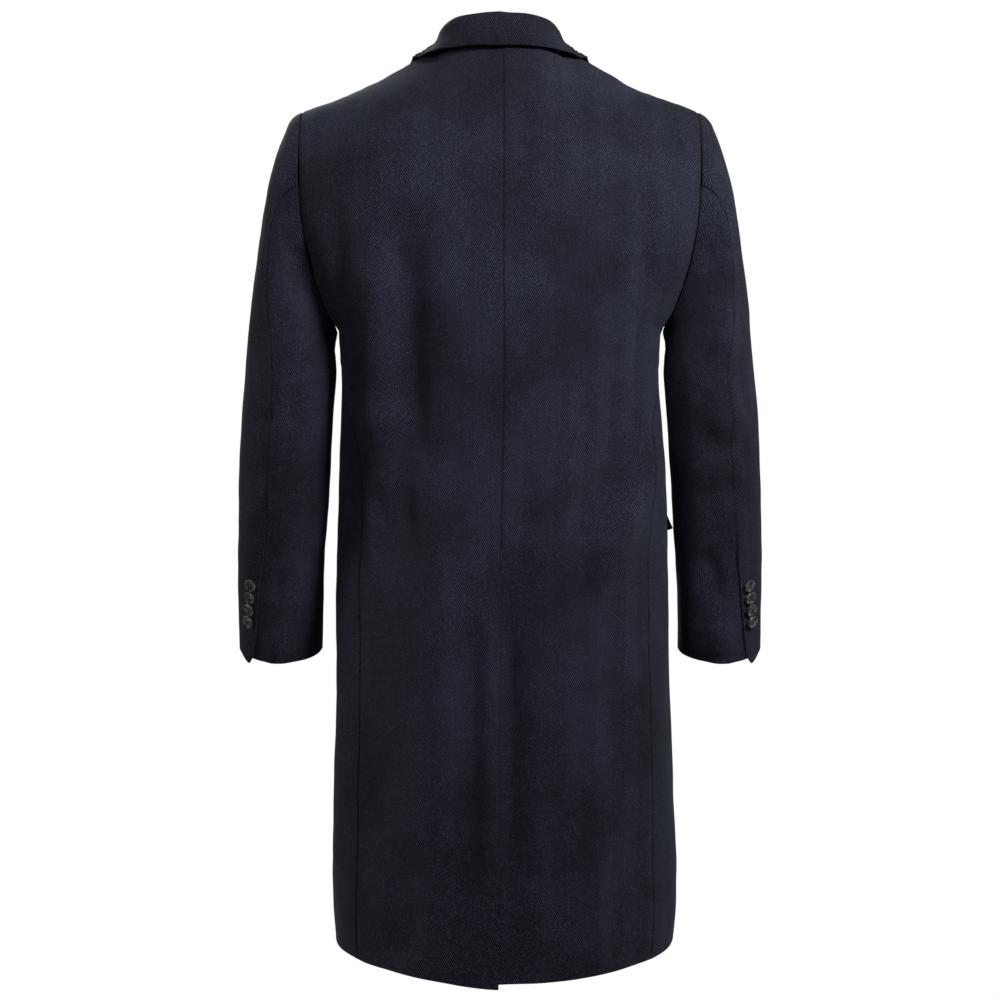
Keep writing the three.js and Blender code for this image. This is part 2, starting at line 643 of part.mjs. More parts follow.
// Half of the front, from the armhole or side-back seam to the front edge
function frontPanelPoint(row, distance, side) {
  const point = frontPoint(row, distance);
  if (side < 0) point.y += read(FRONT_TUCK, 'z', 'push', point.z) * ease(point.x, 78, 34);
  return settle(toSide(point, side));
}

function frontPanel(side) {
  return makeGrid(TOTAL_ROWS, FRONT_COLUMNS, (v, u) => {
    const row = rowAt(v);
    return frontPanelPoint(row, u * frontPath(row).length, side);
  });
}

function topSleeve(side) {
  const rings = SLEEVE.length - 1;
  return makeGrid(rings, TOP_COLUMNS, (v, u) => {
    const hind = read(SLEEVE, 'ring', 'hind', v * rings);
    return toSide(sleevePoint(v * rings, mix(FOREARM_SEAM - 360, hind, u)), side);
  });
}

// The under sleeve slips in under the top sleeve along the cuff vent
function underSleeve(side) {
  const rings = SLEEVE.length - 1;
  return makeGrid(rings, UNDER_COLUMNS, (v, u) => {
    const ring = v * rings;
    const hind = read(SLEEVE, 'ring', 'hind', ring);
    const lap = CUFF_VENT.underlap * ease(ring, CUFF_VENT.top, CUFF_VENT.top + CUFF_VENT.slope);
    const angle = mix(hind - lap, FOREARM_SEAM, u);
    const point = sleevePoint(ring, angle);
    const push = UNDER * ease(ring, CUFF_VENT.top - 1, CUFF_VENT.top)
      * ease(angle - hind, CUFF_VENT.soften, 2);
    const middle = sleevePoint(ring, 0).add(sleevePoint(ring, 180)).multiplyScalar(0.5);
    const out = point.clone().sub(middle).setZ(0).normalize();
    return toSide(point.addScaledVector(out, -push), side);
  });
}

function collarAt(at) {
  const roll = vector(read(COLLAR, 'at', 'rollX', at), read(COLLAR, 'at', 'rollY', at),
    read(COLLAR, 'at', 'rollZ', at));
  const edge = vector(read(COLLAR, 'at', 'edgeX', at), read(COLLAR, 'at', 'edgeY', at),
    read(COLLAR, 'at', 'edgeZ', at));
  const out = edge.clone().sub(roll).setZ(0).normalize();
  return { roll, edge, out };
}

// Neckline that the stand is sewn to, from the gorge round the nape to the other gorge
function neckPlaces() {
  const half = [];
  for (let j = 0; j <= NECK_COLUMNS; j += 1) {
    half.push({ at: (COLLAR_SHOULDER * j) / NECK_COLUMNS, point: backPoint(0, j / BACK_COLUMNS) });
  }
  for (let i = 1; i <= GORGE_STEPS; i += 1) {
    const row = i / ARMHOLE_STEPS;
    const at = mix(COLLAR_SHOULDER, 1, i / GORGE_STEPS);
    half.push({ at, point: frontPoint(row, frontPath(row).length) });
  }
  const left = half.map(({ at, point }) => ({ at, side: 1, point: settle(point.clone()) }));
  const right = half.slice(1).map(({ at, point }) => (
    { at, side: -1, point: settle(toSide(point.clone(), -1)) }));
  return [...right.reverse(), ...left];
}

function collarStand() {
  const places = neckPlaces();
  return makeGrid(STAND_ROWS, places.length - 1, (v, u) => {
    const place = places[Math.round(u * (places.length - 1))];
    const { roll, out } = collarAt(place.at);
    roll.addScaledVector(out, -STAND_INSIDE);
    roll.z -= mix(STAND_TOP, STAND_TOP_FRONT, ease(place.at, COLLAR_SHOULDER, 0.85));
    return place.point.clone().lerp(toSide(roll, place.side), 1 - v);
  });
}

function collarFall(body) {
  const turnRows = COLLAR_TURN.length;
  const rows = turnRows + FALL_STEPS - 1;
  return makeGrid(rows, COLLAR_COLUMNS, (v, u) => {
    const side = u < 0.5 ? -1 : 1;
    const { roll, edge, out } = collarAt(Math.abs(u - 0.5) * 2);
    const step = Math.round(v * rows);
    const turn = COLLAR_TURN[Math.min(step, turnRows - 1)];
    const point = roll.addScaledVector(out, turn.out);
    point.z -= turn.down;
    if (step >= turnRows) {
      const t = (step - turnRows + 1) / FALL_STEPS;
      point.lerp(edge, t);
      point.addScaledVector(out, FALL_BELLY * 4 * t * (1 - t));
      point.z += FALL_BELLY * 0.4 * 4 * t * (1 - t);
    }
    const placed = toSide(point, side);
    return step >= turnRows - 1 ? clearOf(placed, body, FALL_CLEAR) : placed;
  });
}

// Moves a point out until it is clear of the panels under it
function clearOf(point, body, clearance) {
  let nearest = null;
  let best = Infinity;
  for (const sample of body) {
    const distance = sample.point.distanceTo(point);
    if (distance < best) {
      best = distance;
      nearest = sample;
    }
  }
  const height = point.clone().sub(nearest.point).dot(nearest.normal);
  if (height < clearance) point.addScaledVector(nearest.normal, clearance - height);
  return point;
}

// Fine samples of the two fronts and the back near the neck, with their normals
function upperBodySamples() {
  const samples = [];
  const { rows, columns, down, across } = BODY_SAMPLES;
  const patches = [
    { turn: -1, place: (v, u, side) => settle(toSide(backPoint(v, u), side)) },
    { turn: 1, place: (v, u, side) => frontPanelPoint(v, (1 - u) * frontPath(v).length, side) },
  ];
  for (const side of [1, -1]) {
    for (const { turn, place } of patches) {
      const grid = makeGrid(rows, columns, (v, u) => place(v * down, u * across, side));
      const normals = gridNormals(grid, turn * side);
      grid.forEach((line, i) => line.forEach((point, j) => {
        samples.push({ point, normal: normals[i][j] });
      }));
    }
  }
  return samples;
}

// Lapel laid on the front, its roll lifted a little; the far end of a row is the roll line
function lapel(side) {
  return makeGrid(LAPEL_ROWS, LAPEL_COLUMNS, (v, u) => {
    const base = mix(LAPEL[0].row, LAPEL[LAPEL.length - 1].row, v);
    const wide = read(LAPEL, 'row', 'wide', base);
    const back = wide * (1 - u);
    const row = base + read(LAPEL, 'row', 'skew', base) * (1 - u);
    const place = (r, d) => frontPanelPoint(r, frontPath(r).length - d, side);
    const point = place(row, back);
    const along = place(row, back + 2).sub(place(row, Math.max(back - 2, 0)));
    const down = place(row + 0.01, back).sub(place(row - 0.01, back));
    const normal = down.cross(along).multiplyScalar(side).normalize();
    const swell = Math.sin(Math.PI * Math.min(back / LAPEL_ROLL.reach, 1) ** 0.6);
    const lift = LAPEL_ROLL.lift * swell * ease(base, 1.08, 0.85);
    return point.addScaledVector(normal, UNDER + AIR + lift);
  });
}

// Row of the body at a height of the side
function rowAtHeight(z) {
  return 1 + (z - UNDERARM) / (HEM_SIDE - UNDERARM);
}

function pocketFlap(side) {
  return makeGrid(FLAP_ROWS, FLAP_COLUMNS, (v, u) => {
    const row = rowAtHeight(FLAP.top - FLAP.drop * v);
    const start = frontPath(row).before + FLAP.start;
    const round = FLAP.corner * v ** 3 * (1 - Math.min(1, 6 * Math.min(u, 1 - u)));
    const inset = 0.5 * round * (u < 0.5 ? 1 : -1);
    const distance = start + FLAP.length * u + inset;
    const place = (r, d) => frontPanelPoint(r, d, side);
    const point = place(row, distance);
    const normal = place(row + 0.01, distance).sub(place(row - 0.01, distance))
      .cross(place(row, distance + 3).sub(place(row, distance - 3))).multiplyScalar(side).normalize();
    const stray = (side < 0 ? FLAP.strayRight : FLAP.strayLeft) * v ** 3 * ease(u, 0.35, 0);
    point.addScaledVector(normal, UNDER + AIR + FLAP.lift * v + stray);
    point.z += 0.5 * round;
    return point;
  });
}

// A dished button with a raised rim, its face towards +Z
function buttonGeometry({ radius, thick }) {
  const profile = [
    [0, -thick / 2], [0.82 * radius, -thick / 2], [radius, -0.1 * thick], [radius, 0.2 * thick],
    [0.9 * radius, thick / 2], [0.76 * radius, thick / 2], [0.62 * radius, 0.22 * thick], [0, 0.18 * thick],
  ].map(([r, h]) => new THREE.Vector2(r, h));
  const geometry = new THREE.LatheGeometry(profile, BUTTON_SIDES);
  geometry.rotateX(Math.PI / 2);
  return geometry;
}

function placedButton(name, sizes, centre, normal, up) {
  const mesh = new THREE.Mesh(buttonGeometry(sizes), HORN);
  const z = normal.clone().normalize();
  const x = up.clone().cross(z).normalize();
  const y = z.clone().cross(x);
  mesh.name = name;
  mesh.quaternion.setFromRotationMatrix(new THREE.Matrix4().makeBasis(x, y, z));
  mesh.position.copy(centre);
  return mesh;
}

function cuffButtons(side, word) {
  const meshes = [];
  for (let i = 0; i < CUFF_BUTTON.count; i += 1) {
    const ring = CUFF_BUTTON.ring + (i * CUFF_BUTTON.pitch) / CUFF_BUTTON.ringLength;
    const angle = read(SLEEVE, 'ring', 'hind', ring) - CUFF_BUTTON.ahead;
    const place = (r, a) => toSide(sleevePoint(r, a), side);
    const up = place(ring - 0.2, angle).sub(place(ring + 0.2, angle)).normalize();
    const along = place(ring, angle + 4).sub(place(ring, angle - 4)).normalize();
    const normal = up.clone().cross(along).multiplyScalar(-side).normalize();
    const lean = CUFF_BUTTON.tilt * DEGREE;
    const height = CUFF_BUTTON.radius * Math.sin(lean) + CUFF_BUTTON.thick / 2 + SEAM_GAP;
    const centre = place(ring, angle).addScaledVector(normal, height);
    const face = normal.clone().addScaledVector(up, -Math.tan(lean)).normalize();
    meshes.push(placedButton(`cuff_button_${word}_${i + 1}`, CUFF_BUTTON, centre, face, up));
  }
  return meshes;
}

function frontButtons() {
  const meshes = [];
  for (let i = 0; i < FRONT_BUTTON.count; i += 1) {
    const z = FRONT_BUTTON.top - FRONT_BUTTON.pitch * i;
    const up = frontEdge(z + FRONT_BUTTON.radius).sub(frontEdge(z - FRONT_BUTTON.radius)).setX(0).normalize();
    const normal = up.clone().cross(vector(-1, 0, 0));
    const centre = frontEdge(z).setX(0).addScaledVector(normal, FRONT_BUTTON.thick / 2 + SEAM_GAP);
    meshes.push(placedButton(`front_button_${i + 1}`, FRONT_BUTTON, centre, normal, up));
  }
  return meshes;
}

// Every cloth piece as its grid; turn says which way its rows and columns face
const body = upperBodySamples();
const pieces = [
  { name: 'back_left', turn: -1, grid: backPanel(1) },
  { name: 'back_right', turn: 1, grid: backPanel(-1) },
  { name: 'front_left', turn: -1, grid: frontPanel(1) },
  { name: 'front_right', turn: 1, grid: frontPanel(-1) },
  { name: 'top_sleeve_left', turn: 1, grid: topSleeve(1) },
  { name: 'top_sleeve_right', turn: -1, grid: topSleeve(-1) },
  { name: 'under_sleeve_left', turn: 1, grid: underSleeve(1) },
  { name: 'under_sleeve_right', turn: -1, grid: underSleeve(-1) },
  { name: 'collar_stand', turn: -1, grid: collarStand(), material: UNDERCLOTH },
  { name: 'collar_fall', turn: -1, grid: collarFall(body) },
  { name: 'lapel_left', turn: -1, grid: lapel(1) },
  { name: 'lapel_right', turn: 1, grid: lapel(-1) },
  { name: 'pocket_flap_left', turn: -1, grid: pocketFlap(1) },
  { name: 'pocket_flap_right', turn: 1, grid: pocketFlap(-1) },
];

const coat = new THREE.Group();
for (const piece of pieces) piece.normals = gridNormals(piece.grid, piece.turn);
shareNormals(pieces);
for (const piece of pieces) {
  piece.grid.forEach((line, i) => line.forEach((point, j) => {
    const normal = piece.normals[i][j];
    point.addScaledVector(normal, foldDepth(point, normal));
  }));
  piece.normals = gridNormals(piece.grid, piece.turn);
}
shareNormals(pieces);
for (const { name, grid, normals, turn, material } of pieces) {
  const mesh = new THREE.Mesh(wallGeometry(grid, normals, turn), material ?? CLOTH);
  mesh.name = name;
  coat.add(mesh);
}
coat.add(...cuffButtons(1, 'left'), ...cuffButtons(-1, 'right'), ...frontButtons());

export default coat;
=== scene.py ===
"""Knee-length herringbone wool overcoat, hollow, as it stands when worn.

Each piece of cloth is a thin shell on the form of its solid. The forms are worked out in millimetres from
short tables of the coat's own sizes, and go into metres when a mesh is made. +Z is up, the back of the
coat is towards +Y and the wearer's left towards +X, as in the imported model.
"""
import logging
import math
from dataclasses import dataclass, field
from enum import Enum
from typing import Callable, NamedTuple, Sequence

import bpy
import numpy as np
from mathutils import Matrix, Vector
from mathutils.kdtree import KDTree


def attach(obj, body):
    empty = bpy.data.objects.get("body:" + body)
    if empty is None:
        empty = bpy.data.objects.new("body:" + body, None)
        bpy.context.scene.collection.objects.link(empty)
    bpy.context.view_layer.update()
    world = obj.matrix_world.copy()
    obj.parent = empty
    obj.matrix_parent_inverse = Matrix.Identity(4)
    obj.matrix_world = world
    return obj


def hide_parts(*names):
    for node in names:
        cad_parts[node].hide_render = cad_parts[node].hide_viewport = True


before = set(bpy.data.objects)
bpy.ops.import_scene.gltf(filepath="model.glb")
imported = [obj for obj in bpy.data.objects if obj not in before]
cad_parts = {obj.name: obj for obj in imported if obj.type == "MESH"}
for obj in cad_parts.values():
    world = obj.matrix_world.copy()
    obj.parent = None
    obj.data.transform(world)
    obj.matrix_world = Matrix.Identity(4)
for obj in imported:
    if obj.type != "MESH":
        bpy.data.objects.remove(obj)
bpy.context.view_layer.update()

MM = 0.001
LOG = logging.getLogger("overcoat")
Points = np.ndarray


class Side(Enum):
    """The wearer's left or right; the value is the sign of X."""

    LEFT = 1
    RIGHT = -1

    @property
    def word(self) -> str:
        """The word used in the names of nodes."""
        return self.name.lower()


class Face(Enum):
    """The side of the coat that a crease is seen from: its outward direction and the axes it is drawn on."""

    BACK = ((0.0, 1.0, 0.0), 0, 2)
    FRONT = ((0.0, -1.0, 0.0), 0, 2)
    LEFT = ((1.0, 0.0, 0.0), 1, 2)
    RIGHT = ((-1.0, 0.0, 0.0), 1, 2)


# Curves and tables


def mix(a, b, share):
    """Goes straight from a to b."""
    return a + (b - a) * share


def ease(value, low: float, high: float):
    """Goes smoothly from 0 at low to 1 at high, whichever way round they are."""
    t = np.clip((np.asarray(value, float) - low) / (high - low), 0.0, 1.0)
    return t * t * (3 - 2 * t)


def unit(vectors: Points) -> Points:
    """Vectors of length one."""
    return vectors / np.maximum(np.linalg.norm(vectors, axis=-1, keepdims=True), 1e-9)


def outward(grid: Points, turn: int) -> Points:
    """Normals of a grid of points; turn is 1 or -1, so that they point out of the coat."""
    return unit(np.cross(np.gradient(grid, axis=0), np.gradient(grid, axis=1)) * turn)


def run_along(points: Points) -> Points:
    """Distance of every point of a line from the first one, along the line."""
    return np.concatenate([[0.0], np.cumsum(np.linalg.norm(np.diff(points, axis=0), axis=1))])


class Table:
    """Rows of named values, read between the rows on curves that never overshoot them."""

    def __init__(self, key: str, rows: Sequence[NamedTuple]) -> None:
        """Sorts the rows by their key.

        Args:
            key: the column that the rows are read by.
            rows: the rows, in rising or falling order of the key.
        """
        self.rows = sorted(rows, key=lambda row: getattr(row, key))
        self.at = np.array([getattr(row, key) for row in self.rows], float)

    def read(self, column: str, at) -> Points:
        """Reads one column.

        Args:
            column: its name.
            at: places on the key, a number or an array.

        Returns:
            The values there, held at the ends of the table.
        """
        values = np.array([getattr(row, column) for row in self.rows], float)
        slope = np.diff(values) / np.diff(self.at)
        before, after = slope[:-1], slope[1:]
        same = before * after > 0
        inner = np.where(same, 2 * before * after / np.where(same, before + after, 1.0), 0.0)
        tangent = np.concatenate([slope[:1], inner, slope[-1:]])
        at = np.clip(np.asarray(at, float), self.at[0], self.at[-1])
        i = np.clip(np.searchsorted(self.at, at) - 1, 0, len(self.at) - 2)
        span = self.at[i + 1] - self.at[i]
        t = (at - self.at[i]) / span
        t2, t3 = t * t, t * t * t
        return ((2 * t3 - 3 * t2 + 1) * values[i] + (t3 - 2 * t2 + t) * span * tangent[i]
                + (3 * t2 - 2 * t3) * values[i + 1] + (t3 - t2) * span * tangent[i + 1])


class Path:
    """A curve through close points, read by the share of its length."""

    def __init__(self, points: Points) -> None:
        """Measures the curve."""
        self.points = np.asarray(points, float)
        self.run = run_along(self.points)

    @property
    def length(self) -> float:
        """Length in millimetres."""
        return float(self.run[-1])

    def at(self, share) -> Points:
        """Points at shares of the length."""
        distance = np.clip(np.atleast_1d(share), 0.0, 1.0) * self.length
        return np.stack([np.interp(distance, self.run, self.points[:, k]) for k in range(3)], axis=-1)

    @staticmethod
    def bezier(a: Points, b: Points, c: Points, d: Points, steps: int = 160) -> "Path":
        """A cubic curve from a to d with the handles b and c."""
        t = np.linspace(0.0, 1.0, steps + 1)[:, None]
        return Path(a * (1 - t) ** 3 + 3 * b * t * (1 - t) ** 2 + 3 * c * t * t * (1 - t) + d * t ** 3)


def point(x: float, y: float, z: float) -> Points:
    """One point."""
    return np.array([x, y, z], float)


def spread(length: float, count: int, edge: Sequence[float]) -> Points:
    """Places along a piece, close together where its two edges are finished.

    Args:
        length: from edge to edge.
        count: number of even steps between the close ones.
        edge: distances of the close places from each edge, from 0 up.

    Returns:
        Rising distances from 0 to length.
    """
    first = np.array(edge, float)
    middle = np.linspace(edge[-1], length - edge[-1], count + 1)[1:-1]
    return np.concatenate([first, middle, length - first[::-1]])


EDGE_STEPS = (0.0, 0.12, 0.4, 0.85, 1.6, 2.8, 4.6)


# The coat's sizes


class SeamPoint(NamedTuple):
    """Point of the shoulder seam."""

    x: float
    y: float
    z: float


class SkirtRow(NamedTuple):
    """Section below the underarm; the columns are as in BodyForm."""

    side: float
    half: float
    square: float
    seam: float
    back_z: float
    front_z: float
    sway: float


class BackPoint(NamedTuple):
    """Profile of the centre back; x is where its seam wanders to."""

    z: float
    y: float
    x: float


class FrontPoint(NamedTuple):
    """Edge of the left front."""

    z: float
    x: float
    y: float


class TuckRow(NamedTuple):
    """How far the right front is pushed in under the left one."""

    z: float
    push: float


class SleeveRing(NamedTuple):
    """Ring of the sleeve; the columns are as in SleeveForm."""

    ring: float
    out_x: float
    out_z: float
    in_x: float
    in_z: float
    mid_y: float
    deep: float
    hook: float
    tilt: float
    hind: float


class CollarPlace(NamedTuple):
    """Roll line and outer edge of the fall, from the centre back (0) to the gorge (1)."""

    at: float
    roll_x: float
    roll_y: float
    roll_z: float
    edge_x: float
    edge_y: float
    edge_z: float


class LapelRow(NamedTuple):
    """Width of the lapel from the roll line out, and how far its rows lean down outwards."""

    row: float
    wide: float
    skew: float


class Fold(NamedTuple):
    """Soft trough (depth below zero) or ridge from one point to another, bowed sideways."""

    face: Face
    a0: float
    z0: float
    a1: float
    z1: float
    bow: float
    width: float
    depth: float


WALL = 2.0
AIR = 0.6
SEAM_GAP = 0.3
UNDER = WALL + AIR
UNDERARM = -334.0
HEM_SIDE = -1038.0
BREAK = -430.0
FRONT_LAP = 20.0
NECK_SHARE = 1 / 3           # of the back's top edge, the part on the neckline
COLLAR_SHOULDER = 0.56       # the shoulder seam's place along the collar
GORGE_ROW = 0.25             # body row where the collar ends
VENT_TOP = 1.4               # body row where the centre vent opens
VENT_STEP = 1 / 15           # rows over which its underlap comes in
VENT_LAP = 42.0
VENT_STAY = 4.0              # the underlap begins this wide, above the opening
VENT_PUSH = WALL + 3 * AIR
FOREARM_SEAM = 240.0
CUFF_VENT = 12.0             # sleeve ring where the cuff vent opens
CUFF_LAP = 16.0              # degrees

SHOULDER_SEAM = [
    SeamPoint(72, 4, 0), SeamPoint(104, 4, -17.5), SeamPoint(144.5, 3, -41),
    SeamPoint(182, 2, -58), SeamPoint(216, 1, -70), SeamPoint(230.5, 0, -76),
]
SKIRT = [
    SkirtRow(-334, 189.0, 0.80, 189.0, -333, -318, 0),
    SkirtRow(-365, 186.4, 0.74, 186.0, -365, -355, 0),
    SkirtRow(-400, 185.6, 0.68, 182.0, -401, -396, -0.5),
    SkirtRow(-450, 188.0, 0.63, 170.5, -452, -450, -2),
    SkirtRow(-500, 191.0, 0.60, 165.0, -503, -501, -3),
    SkirtRow(-600, 193, 0.60, 165.0, -605, -602, -3),
    SkirtRow(-700, 197.2, 0.60, 165.5, -708, -704, -3),
    SkirtRow(-800, 199.6, 0.60, 166.5, -812, -806, -3.5),
    SkirtRow(-900, 201.8, 0.60, 167.5, -916, -908, -4),
    SkirtRow(-1000, 200.0, 0.60, 167.0, -1020, -1010, -5.5),
    SkirtRow(-1038, 196.5, 0.60, 165.0, -1060, -1049, -5),
]
BACK_LINE = [
    BackPoint(-8, 62, -3), BackPoint(-35, 79, -3.5), BackPoint(-70, 96, -4), BackPoint(-110, 110, -4),
    BackPoint(-160, 121, -4), BackPoint(-220, 128, -4), BackPoint(-290, 131, -4.2),
    BackPoint(-380, 128, -4.4), BackPoint(-450, 126.5, -3.2), BackPoint(-520, 128, -2),
    BackPoint(-600, 134, -0.8), BackPoint(-700, 144, 1.2), BackPoint(-800, 153, 3),
    BackPoint(-900, 161, 2.2), BackPoint(-1060, 171, 1.6),
]
FRONT_EDGE = [
    FrontPoint(0, 72, 4), FrontPoint(-8, 70, -17), FrontPoint(-21, 66, -38), FrontPoint(-60, 57, -69),
    FrontPoint(-140, 45, -100), FrontPoint(-227, 30, -121), FrontPoint(-318, 12, -137),
    FrontPoint(-400, -10, -145.5), FrontPoint(BREAK, -FRONT_LAP, -147.5),
    FrontPoint(-520, -FRONT_LAP, -149), FrontPoint(-600, -FRONT_LAP, -151),
    FrontPoint(-800, -FRONT_LAP, -158), FrontPoint(-1060, -FRONT_LAP, -167),
]
FRONT_TUCK = [
    TuckRow(-280, 0), TuckRow(-340, 2 * UNDER + 2 * AIR), TuckRow(-450, 2 * UNDER + 2 * AIR),
    TuckRow(-530, UNDER), TuckRow(-1060, UNDER),
]
SLEEVE = [
    SleeveRing(0, 230.5, -76, 189.0, -334, 0, 74, 3.3, 0, 75),
    SleeveRing(1, 243, -87, 189.7, -337, 0, 75, 3.1, 0, 74),
    SleeveRing(2, 253.5, -108, 190.1, -341, 0, 75.5, 2.8, 0, 73),
    SleeveRing(3, 264, -140, 190.3, -345, 1, 76, 2.4, 0, 72),
    SleeveRing(4, 271.5, -180, 190.3, -350, 2, 76, 2.0, 0, 71),
    SleeveRing(5, 278.5, -225, 190.1, -357, 4, 75, 1.65, 0, 71),
    SleeveRing(6, 286, -280, 189.8, -366, 5, 73, 1.35, 0, 71),
    SleeveRing(7, 292.5, -330, 189.6, -379, 5, 71, 1.12, 1, 72),
    SleeveRing(8, 297, -385, 192.3, -406, 4, 68, 1, 2, 73),
    SleeveRing(9, 302, -440, 196.0, -445, 1, 64.5, 1, 4, 74),
    SleeveRing(10, 305.3, -495, 199.2, -495, -7, 61, 1, 7, 73),
    SleeveRing(11, 307, -550, 203, -548, -17, 57.5, 1, 9, 71),
    SleeveRing(12, 309.5, -597, 207.3, -594, -26, 54, 1, 11, 69),
    SleeveRing(13, 310, -636, 209.3, -632, -33, 51.5, 1, 13, 64),
    SleeveRing(14, 309.4, -672, 210.6, -671, -39, 49.5, 1, 14, 58),
    SleeveRing(15, 309.6, -704, 212, -706, -45, 47.5, 1, 16, 51),
]
COLLAR = [
    CollarPlace(0.0, 0, 61, 30, 0, 74, -12.5), CollarPlace(0.12, 24, 58, 28, 25, 69.5, -11.5),
    CollarPlace(0.24, 44, 49, 26, 50, 58, -11), CollarPlace(0.35, 55.5, 37, 24, 71, 44, -10.5),
    CollarPlace(0.44, 62.5, 24, 21, 84, 30, -10.5), CollarPlace(0.53, 66.5, 10, 17.5, 95, 13, -13),
    CollarPlace(0.62, 68, -6, 12, 102, -2, -17), CollarPlace(0.71, 68, -22, 3, 108, -18, -27),
    CollarPlace(0.8, 66, -40, -12, 109, -42, -46), CollarPlace(0.9, 61, -58, -33, 107, -65, -72),
    CollarPlace(1.0, 57.5, -71, -53, 101, -84, -96),
]
LAPEL = [
    LapelRow(0.285, 66, 0.150), LapelRow(0.36, 84, 0.105), LapelRow(0.45, 88, 0.06),
    LapelRow(0.60, 82, 0.03), LapelRow(0.80, 68, 0.01), LapelRow(1.00, 48, 0), LapelRow(1.08, 28, 0),
    LapelRow(1.14, 9, 0),
]
# The largest folds, which the solids have too, and finer ones
FOLDS = [
    Fold(Face.BACK, 112, -190, 110, -520, 4, 25, -18),
    Fold(Face.BACK, 141, -215, 138, -490, 5, 24, 11.2),
    Fold(Face.BACK, 160, -446, 90, -440, 5, 26, 7),
    Fold(Face.BACK, 156, -555, 84, -545, -6, 46, -10),
    Fold(Face.BACK, 187, -180, 181, -335, 2, 11, -6.3),
    Fold(Face.BACK, -163, -165, -160, -310, 3, 12, -5.6),
    Fold(Face.BACK, 33, -165, 36, -380, 2, 10, -3.4),
    Fold(Face.BACK, -15, -165, -18, -320, -2, 10, -3.1),
    Fold(Face.BACK, -40, -190, -44, -300, -2, 11, -2.8),
    Fold(Face.BACK, -180, -430, -98, -640, 10, 23, 14),
    Fold(Face.BACK, -156, -395, -62, -620, 12, 25, -14),
    Fold(Face.BACK, 172, -420, 168, -640, 3, 15, -7),
    Fold(Face.BACK, 70, -470, 74, -960, 6, 42, 12),
    Fold(Face.BACK, 36, -620, 38, -990, 3, 14, -9.8),
    Fold(Face.BACK, 13, -600, 13, -1000, 0, 8, 3.5),
    Fold(Face.BACK, -8, -600, -9, -1000, 0, 13, -9.8),
    Fold(Face.BACK, 150, -590, 150, -1000, 6, 26, -8.4),
    Fold(Face.BACK, 108, -900, 130, -1070, 8, 22, -7),
    Fold(Face.BACK, -72, -800, -78, -1050, -4, 26, -5.6),
    Fold(Face.BACK, -150, -880, -140, -1070, -8, 22, -7),
    Fold(Face.BACK, 272, -300, 276, -540, 4, 10, -4.9),
    Fold(Face.BACK, 292, -582, 220, -484, -6, 12, -8.4),
    Fold(Face.BACK, 246, -236, 222, -278, 4, 9, -5),
    Fold(Face.BACK, 238, -288, 236, -372, 3, 16, 6.3),
    Fold(Face.BACK, 268, -560, 262, -655, 4, 12, -5.6),
    Fold(Face.BACK, -270, -236, -230, -272, -6, 9, -6.5),
    Fold(Face.BACK, -250, -292, -256, -368, -3, 17, 7),
    Fold(Face.BACK, -238, -456, -286, -428, 4, 13, 7),
    Fold(Face.BACK, -230, -480, -290, -472, 5, 13, -4.5),
    Fold(Face.BACK, -238, -580, -262, -660, -4, 13, -7),
    Fold(Face.BACK, 250, -672, 252, -722, 0, 22, 4.9),
    Fold(Face.BACK, -252, -668, -254, -715, 0, 24, 5.6),
]
CREASES = [
    Fold(Face.BACK, 60, -560, 44, -650, 4, 16, -2),
    Fold(Face.BACK, -110, -640, -120, -860, 6, 22, -2.4),
    Fold(Face.BACK, 250, -400, 226, -452, 4, 12, -3),
    Fold(Face.BACK, 290, -440, 230, -420, -5, 11, -3),
    Fold(Face.BACK, -226, -400, -286, -384, 6, 11, -3.2),
    Fold(Face.BACK, -230, -534, -284, -512, 5, 12, -3.5),
    Fold(Face.BACK, 236, -610, 286, -632, 4, 13, -2.4),
    Fold(Face.FRONT, 150, -250, 96, -420, 10, 24, -6),
    Fold(Face.FRONT, -150, -250, -100, -400, -10, 22, -5.5),
    Fold(Face.FRONT, 168, -420, 60, -520, 12, 22, -5),
    Fold(Face.FRONT, -166, -430, -70, -530, -12, 24, -5.5),
    Fold(Face.FRONT, 100, -640, 112, -1000, 8, 30, -6),
    Fold(Face.FRONT, -104, -650, -96, -1010, -6, 28, -5.5),
    Fold(Face.FRONT, 60, -700, 56, -1040, 4, 24, 4.5),
    Fold(Face.FRONT, -140, -700, -150, -1040, 4, 26, 4),
    Fold(Face.FRONT, 236, -440, 290, -470, 6, 13, -5),
    Fold(Face.FRONT, -232, -430, -288, -470, 6, 13, -4.5),
    Fold(Face.FRONT, 228, -500, 292, -486, -5, 12, -4),
    Fold(Face.FRONT, -240, -520, -290, -500, 5, 12, -3.5),
    Fold(Face.LEFT, 30, -300, -30, -420, 8, 14, -4),
    Fold(Face.RIGHT, 28, -310, -32, -440, 8, 14, -4),
    Fold(Face.LEFT, 20, -640, 4, -980, 8, 30, -5),
    Fold(Face.RIGHT, 10, -620, 20, -960, -6, 30, -5),
    Fold(Face.LEFT, -60, -700, -70, -1020, 4, 26, 4),
    Fold(Face.RIGHT, -64, -680, -60, -1010, 4, 26, 4),
]


